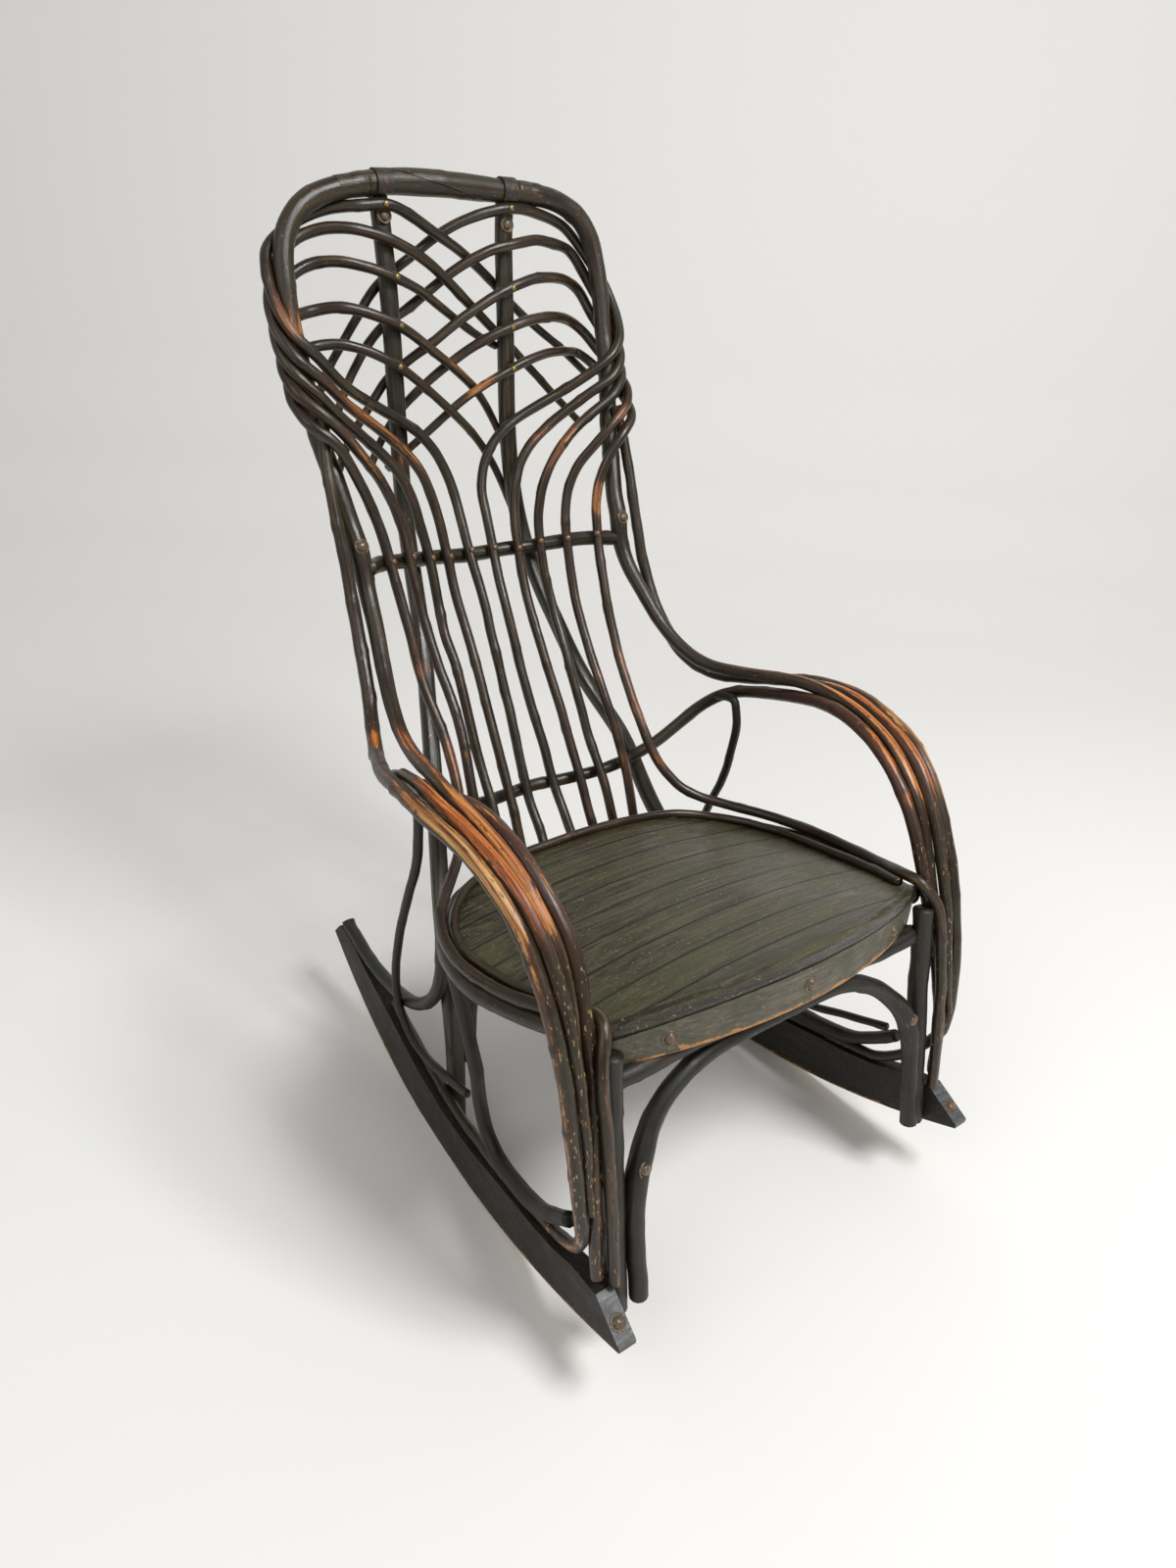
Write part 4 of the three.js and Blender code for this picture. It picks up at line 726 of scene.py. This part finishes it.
up, down, front, leftward = (0, 0, 1), (0, 0, -1), (0, -1, 0), (-1, 0, 0)
sides = ("left", "right")

# fan of thin back rods: the fifth runs on as the seat rim, and is chipped on its front descent, which
# begins this far forward, in metres
fan = {
    "tones": (0.1, 0.3, 0.2, 0.35, 0.3), "wear": 0.07, "rimWear": 0.12,
    "descentFrom": 0.17, "descentSpan": 0.08,
    "rimFlecks": 0.25, "descentFlecks": 0.4, "rimTone": 0.3, "descentTone": -0.1, "descentEdge": 0.28,
}


def rimLook(point):
    descent = within(-point[1], fan["descentFrom"], fan["descentSpan"])
    return {
        "wear": fan["rimWear"], "edge": fan["descentEdge"] * descent,
        "flecks": fan["rimFlecks"] + fan["descentFlecks"] * descent,
        "tone": fan["rimTone"] + fan["descentTone"] * descent,
    }


for side in sides:
    for number, tone in enumerate(fan["tones"], start=1):
        extra = {"along": rimLook} if number == 5 else {}
        makeRod(f"back_rod_{side}_{number}", down, rodPaint, "painted_rod",
                tone=tone, wear=fan["wear"], **extra)
print("back rods bent")

# arm rods: outer, middle, and the inner one that crosses behind the back. They are rubbed bare on top
# where a hand lies, less towards the rear, and chipped on the front descent. Places are in metres, and
# those along the chair count forward
arms = {
    "topFrom": 0.325, "topSpan": 0.055, "rearFrom": -0.06, "rearSpan": 0.05, "handFrom": 0.02,
    "handSpan": 0.08, "rearWear": 0.38, "besideFrom": 0.17, "behindWear": 0.3, "descentFrom": 0.12,
    "descentSpan": 0.08, "wear": 0.08, "tone": 0.15, "flecks": 0.25, "descentFlecks": 0.75,
    "descentPale": 0.7, "descentTone": 0.2,
    "outer": {"wear": 0.84, "pale": 0.85, "tone": 0.2, "edge": 0.55},
    "middle": {"wear": 0.84, "pale": 0.1, "tone": 0.2, "edge": 0.2},
    "inner": {"wear": 0.4, "pale": 0.0, "tone": 1.0, "edge": 0.3},
}


def onTop(point):
    # none below the arms, one on top of them
    return within(point[2], arms["topFrom"], arms["topSpan"])


def inFront(point):
    # none behind the front descent, one on it
    return within(-point[1], arms["descentFrom"], arms["descentSpan"])


def armLook(kind):
    amounts = arms[kind]

    def alongArm(point):
        hand = within(-point[1], arms["handFrom"], arms["handSpan"])
        rear = blend(arms["rearWear"], 1, hand)
        rear *= within(-point[1], arms["rearFrom"], arms["rearSpan"])
        beside = 1 if abs(point[0]) > arms["besideFrom"] else arms["behindWear"]
        top = rear * onTop(point) * beside
        forward = inFront(point)
        descent = forward * (1 - onTop(point))
        return {
            "wear": blend(arms["wear"], amounts["wear"], top),
            "pale": max(amounts["pale"] * top, arms["descentPale"] * descent),
            "tone": blend(arms["tone"], amounts["tone"], max(top, forward * arms["descentTone"])),
            "flecks": arms["descentFlecks"] * descent + arms["flecks"],
            "edge": amounts["edge"] * descent,
        }
    return alongArm


for side in sides:
    outward = -1 if side == "left" else 1
    makeRod(f"outer_arm_{side}", up, armWood, "worn_arm_rod", along=armLook("outer"), sides=14,
            wearSide=(0.5 * outward, -0.25, 1), edgeSide=(outward, 0, 0), knotGapMm=(20, 48),
            knotLengthMm=5, lumpShare=0.06)
    makeRod(f"middle_arm_{side}", down, armWood, "worn_arm_rod", along=armLook("middle"), sides=14,
            wearSide=(0.2 * outward, -0.2, 1))
makeRod("inner_arm_hoop", down, armWood, "worn_arm_rod", along=armLook("inner"), sides=14,
        wearSide=(0, -0.2, 1))
print("arms bent")

# the main hoop is two rods scarfed together at its top
hoop = {
    "scarfAbove": 0.8, "scarfGapMm": 0.35, "scarfReachMm": 75, "scarfRings": 22,
    "bridgeMm": 62, "bridgePoints": 28, "headingSteps": 5, "scarfSwell": 0.1, "smoothMm": 9,
    "making": {"sides": 16, "fullness": 1.03, "lumpShare": 0.03},
    "wear": 0.84, "restWear": 0.12, "leastRearWear": 0.5, "rearFrom": -0.07, "rearSpan": 0.04,
    "pale": 0.3, "tone": 0.2, "restTone": 0.15, "flecks": 0.2, "descentFlecks": 0.4,
}


def hoopLook(point):
    hand = max(hoop["leastRearWear"], within(-point[1], arms["handFrom"], arms["handSpan"]))
    arm = onTop(point) * hand * within(-point[1], hoop["rearFrom"], hoop["rearSpan"])
    descent = inFront(point) * (1 - onTop(point))
    return {
        "wear": blend(hoop["restWear"], hoop["wear"], arm),
        "tone": blend(hoop["restTone"], hoop["tone"], arm),
        "pale": hoop["pale"] * arm, "flecks": hoop["flecks"] + hoop["descentFlecks"] * descent,
    }


def largestFlat(faces, digits):
    # the middle of a solid's largest flat, and the faces that make it
    groups = {}
    for face in faces:
        groups.setdefault(tuple(round(n, digits) for n in face.normal), []).append(face)
    flat = max(groups.values(), key=lambda group: sum(face.calc_area() for face in group))
    area = sum(face.calc_area() for face in flat)
    place = sum((face.calc_center_median() * face.calc_area() for face in flat), Vector()) / area
    return place, flat


def scarfPlane():
    # the flat cut where the two halves of the hoop meet: the largest flat face high on one half
    bm = mergedSolid("hoop_left")
    high = [face for face in bm.faces if face.calc_center_median().z > hoop["scarfAbove"]]
    place, flat = largestFlat(high, 2)
    normal = flat[0].normal.copy()
    bm.free()
    return place, normal


def bridgedHoop(line, radii, scarfPlace):
    # the halves' own faces blur the walked line in the scarf, so one smooth curve bridges it
    away = lengthsOf(line - np.array(scarfPlace))
    inScarf = np.where(away < hoop["bridgeMm"] * mm)[0]
    before, after = inScarf[0] - 1, inScarf[-1] + 1
    span, steps = np.linalg.norm(line[after] - line[before]), hoop["headingSteps"]
    leave, arrive = line[before] - line[before - steps], line[after + steps] - line[after]
    leave, arrive = (unit(v) * span for v in (leave, arrive))
    t = np.linspace(0, 1, hoop["bridgePoints"] + 2)[1:-1, None]
    bridge = (
        (2 * t ** 3 - 3 * t ** 2 + 1) * line[before] + (t ** 3 - 2 * t ** 2 + t) * leave
        + (3 * t ** 2 - 2 * t ** 3) * line[after] + (t ** 3 - t ** 2) * arrive
    )
    thick = radii[before] * (1 + hoop["scarfSwell"] * np.sin(np.pi * t[:, 0]))
    return (
        np.concatenate([line[:before + 1], bridge, line[after:]]),
        np.concatenate([radii[:before + 1], thick, radii[after:]]),
    )


scarfPlace, scarfNormal = scarfPlane()
hoopLine, hoopRadii = bridgedHoop(*followRod(["hoop_left", "hoop_right"], (-1, 0, -3)), scarfPlace)
hoopPath, hoopRadii = evened(hoopLine, hoopRadii, hoop["smoothMm"], rodMaking["ringMm"])
nearest = int(np.argmin(lengthsOf(hoopPath - np.array(scarfPlace))))
for side in sides:
    isLeft = side == "left"
    past = nearest + hoop["scarfRings"] if isLeft else nearest - hoop["scarfRings"]
    part = slice(0, past) if isLeft else slice(len(hoopPath) - 1, past, -1)
    rodLines["hoop_" + side] = (hoopPath[part], hoopRadii[part])
    bm = bmesh.new()
    wearSide = (-0.2 if isLeft else 0.2, -0.25, 1)
    look = {**rodMaking, **hoop["making"], "along": hoopLook, "wearSide": wearSide}
    sweepRod(bm, hoopPath[part], hoopRadii[part], look, "hoop")
    # each half ends at the scarf's flat cut
    normal = scarfNormal if isLeft else -scarfNormal
    inReach = [v for v in bm.verts if (v.co - scarfPlace).length < hoop["scarfReachMm"] * mm]
    inside = set(inReach)
    near = inReach + [part for part in bm.edges[:] + bm.faces[:] if set(part.verts) <= inside]
    bmesh.ops.bisect_plane(
        bm, geom=near, dist=1e-6, plane_co=scarfPlace - normal * hoop["scarfGapMm"] * mm, plane_no=normal,
        clear_outer=True,
    )
    bmesh.ops.holes_fill(bm, edges=[e for e in bm.edges if e.is_boundary], sides=0)
    # the cut itself stays flat and sharp
    for face in bm.faces:
        if abs(face.normal.dot(scarfNormal)) > 0.99 and len(face.verts) > 6:
            face.smooth = False
            for edge in face.edges:
                edge.smooth = False
    placePiece(f"hoop_{side}_bent", bm, armWood, ["hoop_" + side])
print("hoop bent and scarfed")

# posts shaved to a soft rectangle, and the smaller rods of the frame. The front posts, leg rods, tail loops,
# scroll rods, front rail and braces take the paint darkened as painted shade
postShape = {"facing": (1, 0, 0), "widths": (16.5, 14.5), "squareness": 0.62}
for side in sides:
    makeRod(f"post_{side}", up, rodPaint, "painted_rod", section=postShape, fullness=0.74, smoothMm=24,
            lumpShare=0.012, knotShare=0.0, sides=20, tone=0.05, wanderMm=0.2)
    makeRod(f"front_post_{side}", down, underframeShadedPaint, "painted_rod", sides=14, tone=0.2)
    makeRod(f"leg_rod_{side}", up, underframeShadedPaint, "painted_rod", tone=0.2)
    makeRod(f"tail_loop_{side}", up, underframeShadedPaint, "painted_rod", tone=0.15, smoothMm=6, sides=10)
    makeRod(f"scroll_rod_{side}", front, underframeShadedPaint, "painted_rod", tone=0.1, smoothMm=6, sides=10)
makeRod("crossbar", leftward, rodPaint, "painted_rod", sides=14, tone=0.1, knotShare=0.18, knotGapMm=(40, 90))
makeRod("front_rail", leftward, underframeShadedPaint, "painted_rod")
makeRod("seat_hoop", front, rodPaint, "painted_rod", tone=0.2, flecks=0.3, wear=0.12)
makeRod("seat_lip", front, rodPaint, "painted_rod", tone=0.3, flecks=0.2, wear=0.12)
makeRod("front_brace", down, underframeShadedPaint, "painted_rod", tone=0.05)
makeRod("rear_brace", down, underframeShadedPaint, "painted_rod", tone=0.05)
print("frame rods bent")


def sawnPiece(nodeName, material, look):
    # a sawn board: its solid's faces joined up, its arrises eased, and its worn edge marked
    bm = mergedSolid(nodeName)
    bmesh.ops.dissolve_limit(bm, angle_limit=math.radians(2), verts=bm.verts[:], edges=bm.edges[:])
    if "sliceAlong" in look:
        # cuts across the board, so that the worn edge fades evenly into each wide face
        along = Vector(look["sliceAlong"])
        ends = [v.co.dot(along) for v in bm.verts]
        for at in np.arange(min(ends), max(ends), look["sliceMm"] * mm)[1:]:
            geometry = bm.verts[:] + bm.edges[:] + bm.faces[:]
            bmesh.ops.bisect_plane(bm, geom=geometry, dist=1e-6, plane_co=along * at, plane_no=along)
    worn = bm.verts.layers.float.new("worn")
    for v in bm.verts:
        # one along the lower edge of a board that is worn there, none elsewhere
        lowest = min(face.normal.z for face in v.link_faces)
        v[worn] = 1 if "wornFacing" in look and lowest < look["wornFacing"] else 0
    smoothAll(bm)
    for edge in bm.edges:
        edge.smooth = edge.calc_face_angle(0) < math.radians(look["creaseDegrees"])
    piece = placePiece(nodeName + "_sawn", bm, material, [nodeName])
    ease = piece.modifiers.new("eased arris", "BEVEL")
    ease.width = look["easeMm"] * mm
    ease.segments = 2
    ease.limit_method = "ANGLE"
    ease.angle_limit = math.radians(look["creaseDegrees"])
    ease.harden_normals = True
    return piece


# rear edges of the seat boards move back a little, so that no light shows through the joints
seatLook = {"creaseDegrees": 32, "easeMm": 0.9, "rearEdgeAtMm": -200.8, "nearEdgeMm": 0.15, "closeMm": 0.55}
noseLook = {"creaseDegrees": 64, "easeMm": 1.5, "rollsOverBelow": 0.93, "rollsOverFrom": -0.1}
for number in range(1, 10):
    board = sawnPiece(f"seat_board_{number}", boardPaint, noseLook if number == 1 else seatLook)
    for corner in board.data.vertices:
        fromEdge = (corner.co.y / mm - seatLook["rearEdgeAtMm"]) % seatJoints["pitchMm"]
        if min(fromEdge, seatJoints["pitchMm"] - fromEdge) < seatLook["nearEdgeMm"]:
            corner.co.y += seatLook["closeMm"] * mm
    if number == 1:
        # glossier where the first board rolls over towards the front
        board.data.materials.append(nosePaint)
        for face in board.data.polygons:
            if face.normal.z < noseLook["rollsOverBelow"] and face.normal.y < noseLook["rollsOverFrom"]:
                face.material_index = 1

# the apron and the rockers are worn along the edges that face down
apronLook = {"creaseDegrees": 32, "easeMm": 0.8, "wornFacing": -0.6, "sliceAlong": (1, 0, 0), "sliceMm": 12}
rockerLook = {
    "creaseDegrees": 35, "easeMm": 1.2, "wornFacing": -0.6, "sliceAlong": (0, 1, 0), "sliceMm": 12,
    "tipReachMm": 45, "tipFacing": -0.4,
}
strapLook = {"creaseDegrees": 50, "easeMm": 0.4}
sawnPiece("apron", apronPaint, apronLook)
for side in sides:
    rocker = sawnPiece(f"rocker_{side}", rockerPaintAndShade, rockerLook)
    rocker.data.materials.append(tipPaint)
    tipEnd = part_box(f"rocker_{side}")[0].y + rockerLook["tipReachMm"] * mm
    for face in rocker.data.polygons:
        if face.normal.y < rockerLook["tipFacing"] and face.center.y < tipEnd:
            face.material_index = 1
    sawnPiece(f"strap_{side}", strapIron, strapLook)
print("boards sawn")


def turned(bm, outline, place, axis):
    # turns an outline of radius and height about an axis at a place
    quarter = Vector((0, 0, 1)).rotation_difference(Vector(axis)).to_matrix().to_4x4()
    seat = Matrix.Translation(place) @ quarter
    verts = [bm.verts.new((radius * mm, 0, height * mm)) for radius, height in outline]
    edges = [bm.edges.new(pair) for pair in zip(verts, verts[1:])]
    bmesh.ops.spin(
        bm, geom=verts + edges, cent=(0, 0, 0), axis=(0, 0, 1), angle=2 * math.pi, steps=20, use_merge=True,
    )
    # tagged verts belong to pieces turned before
    bmesh.ops.remove_doubles(bm, verts=[v for v in bm.verts if not v.tag], dist=0.01 * mm)
    fresh = [v for v in bm.verts if not v.tag]
    bmesh.ops.transform(bm, matrix=seat, verts=fresh)
    for v in fresh:
        v.tag = True


def placeTurned(pieceName, bm, material, nodeNames=()):
    bmesh.ops.recalc_face_normals(bm, faces=bm.faces[:])
    smoothAll(bm)
    placePiece(pieceName, bm, material, nodeNames)


def boltPlace(nodeName):
    # the largest flat face of the solid bolt is the washer's underside
    bm = mergedSolid(nodeName)
    place, flat = largestFlat(bm.faces, 1)
    normal = sum((face.normal * face.calc_area() for face in flat), Vector()).normalized()
    bm.free()
    return place, -normal


# a dome on a ring washer: radius and height in millimetres. The lifts set it on rods that are rounder
# than their solids
boltShape = {
    "outline": [(0, -3), (3, -3), (3, -1), (6.8, -1), (7.1, 0.5), (6.9, 1.3), (6.2, 1.6), (5.5, 1.3),
                (5.0, 0.5), (4.6, 0.6), (4.4, 2.1), (3.5, 3.2), (1.9, 3.9), (0, 4.1)],
    "liftMm": {"stile_bolt": 2.3, "brace_bolt": 1.6, "post_bolt": 1.4},
}
for nodeName in [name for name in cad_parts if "bolt" in name]:
    place, axis = boltPlace(nodeName)
    place = place + axis * boltShape["liftMm"].get(nodeName.rsplit("_", 1)[0], 0) * mm
    bm = bmesh.new()
    turned(bm, boltShape["outline"], place, axis)
    placeTurned(nodeName + "_turned", bm, boltPaint, [nodeName])

# domed nail heads: radius and height in millimetres
nailShape = {
    "small": [(0, -1.2), (1.2, -1.2), (2.5, -0.2), (2.7, 0.3), (2.4, 1.1), (1.5, 1.7), (0, 1.9)],
    "large": [(0, -1.4), (2, -1.4), (3.1, -0.3), (3.3, 0.4), (2.9, 1.4), (1.8, 2.2), (0, 2.5)],
    "sunkTo": 1.04, "mostGapMm": 26,
}


def nailPlace(nailedName, carrierName):
    # where one rod crosses another most closely, on the face away from the rod that carries it
    nailed, nailedRadii = rodLines[nailedName]
    carrier, _ = rodLines[carrierName]
    gaps = lengthsOf(nailed[:, None, :] - carrier[None, :, :])
    i, j = np.unravel_index(np.argmin(gaps), gaps.shape)
    along = Vector(nailed[min(i + 1, len(nailed) - 1)] - nailed[max(i - 1, 0)]).normalized()
    away = Vector(nailed[i] - carrier[j])
    away = (away - along * away.dot(along)).normalized()
    return Vector(nailed[i]) + away * nailedRadii[i] * nailShape["sunkTo"], away, gaps[i, j]


def nailRow(pieceName, pairs, size, material):
    bm = bmesh.new()
    for nailed, carrier in pairs:
        place, away, gap = nailPlace(nailed, carrier)
        if gap < nailShape["mostGapMm"] * mm:
            turned(bm, nailShape[size], place, away)
    placeTurned(pieceName, bm, material)


stemPairs = [(f"back_rod_{side}_{n}", "crossbar") for side in sides for n in range(1, 6)]
nailRow("crossbar_nails", stemPairs, "large", nailCopper)
postPairs = [(f"back_rod_{side}_{n}", f"post_{side}") for side in sides for n in (1, 3, 4, 5)]
nailRow("post_nails", postPairs, "small", nailBrass)
print("bolts and nails set")

# plain pale floor that sweeps up behind the chair, and soft studio light: each lamp's watts, place and
# size, in metres
studio = {
    "floor": "#F2F1EE", "roughness": 0.85, "width": 16,
    "sweep": [(-4, 0), (1.2, 0), (1.45, 0.03), (1.7, 0.12), (1.88, 0.3), (1.95, 0.55), (1.95, 4)],
    "air": 0.4, "aimedAt": (0, 0, 0.4),
    "lamps": [("key", 54, (0.5, -1.5, 2.4), 0.8), ("fill", 9, (-1.9, -0.5, 1.9), 1.4)],
}
floorMaterial, tree = newMaterial("pale studio floor")
surface = addNode(tree, "BsdfPrincipled", {
    "Base Color": studio["floor"], "Roughness": studio["roughness"],
})
addNode(tree, "OutputMaterial", {"Surface": surface})
bm = bmesh.new()
verts = [bm.verts.new((-studio["width"] / 2, y, z)) for y, z in studio["sweep"]]
edges = [bm.edges.new(pair) for pair in zip(verts, verts[1:])]
made = bmesh.ops.extrude_edge_only(bm, edges=edges)["geom"]
drawn = [part for part in made if isinstance(part, bmesh.types.BMVert)]
bmesh.ops.translate(bm, vec=(studio["width"], 0, 0), verts=drawn)
facing = Matrix.Rotation(math.radians(view["turn"]), 3, "Z")
bmesh.ops.rotate(bm, cent=(0, 0, 0), matrix=facing, verts=bm.verts[:])
smoothAll(bm)
floorObject = meshObject("floor", bm, floorMaterial)
world = bpy.data.worlds.new("air")
scene.world = world
world.use_nodes = True
world.node_tree.nodes["Background"].inputs["Color"].default_value = (1, 1, 1, 1)
world.node_tree.nodes["Background"].inputs["Strength"].default_value = studio["air"]
for name, watts, place, size in studio["lamps"]:
    lampData = bpy.data.lights.new(name, "AREA")
    lampData.energy = watts
    lampData.size = size
    lamp = newObject(name, lampData)
    aim = Vector(studio["aimedAt"]) - Vector(place)
    lamp.matrix_world = Matrix.Translation(place) @ aim.to_track_quat("-Z", "Y").to_matrix().to_4x4()
print("studio lit")
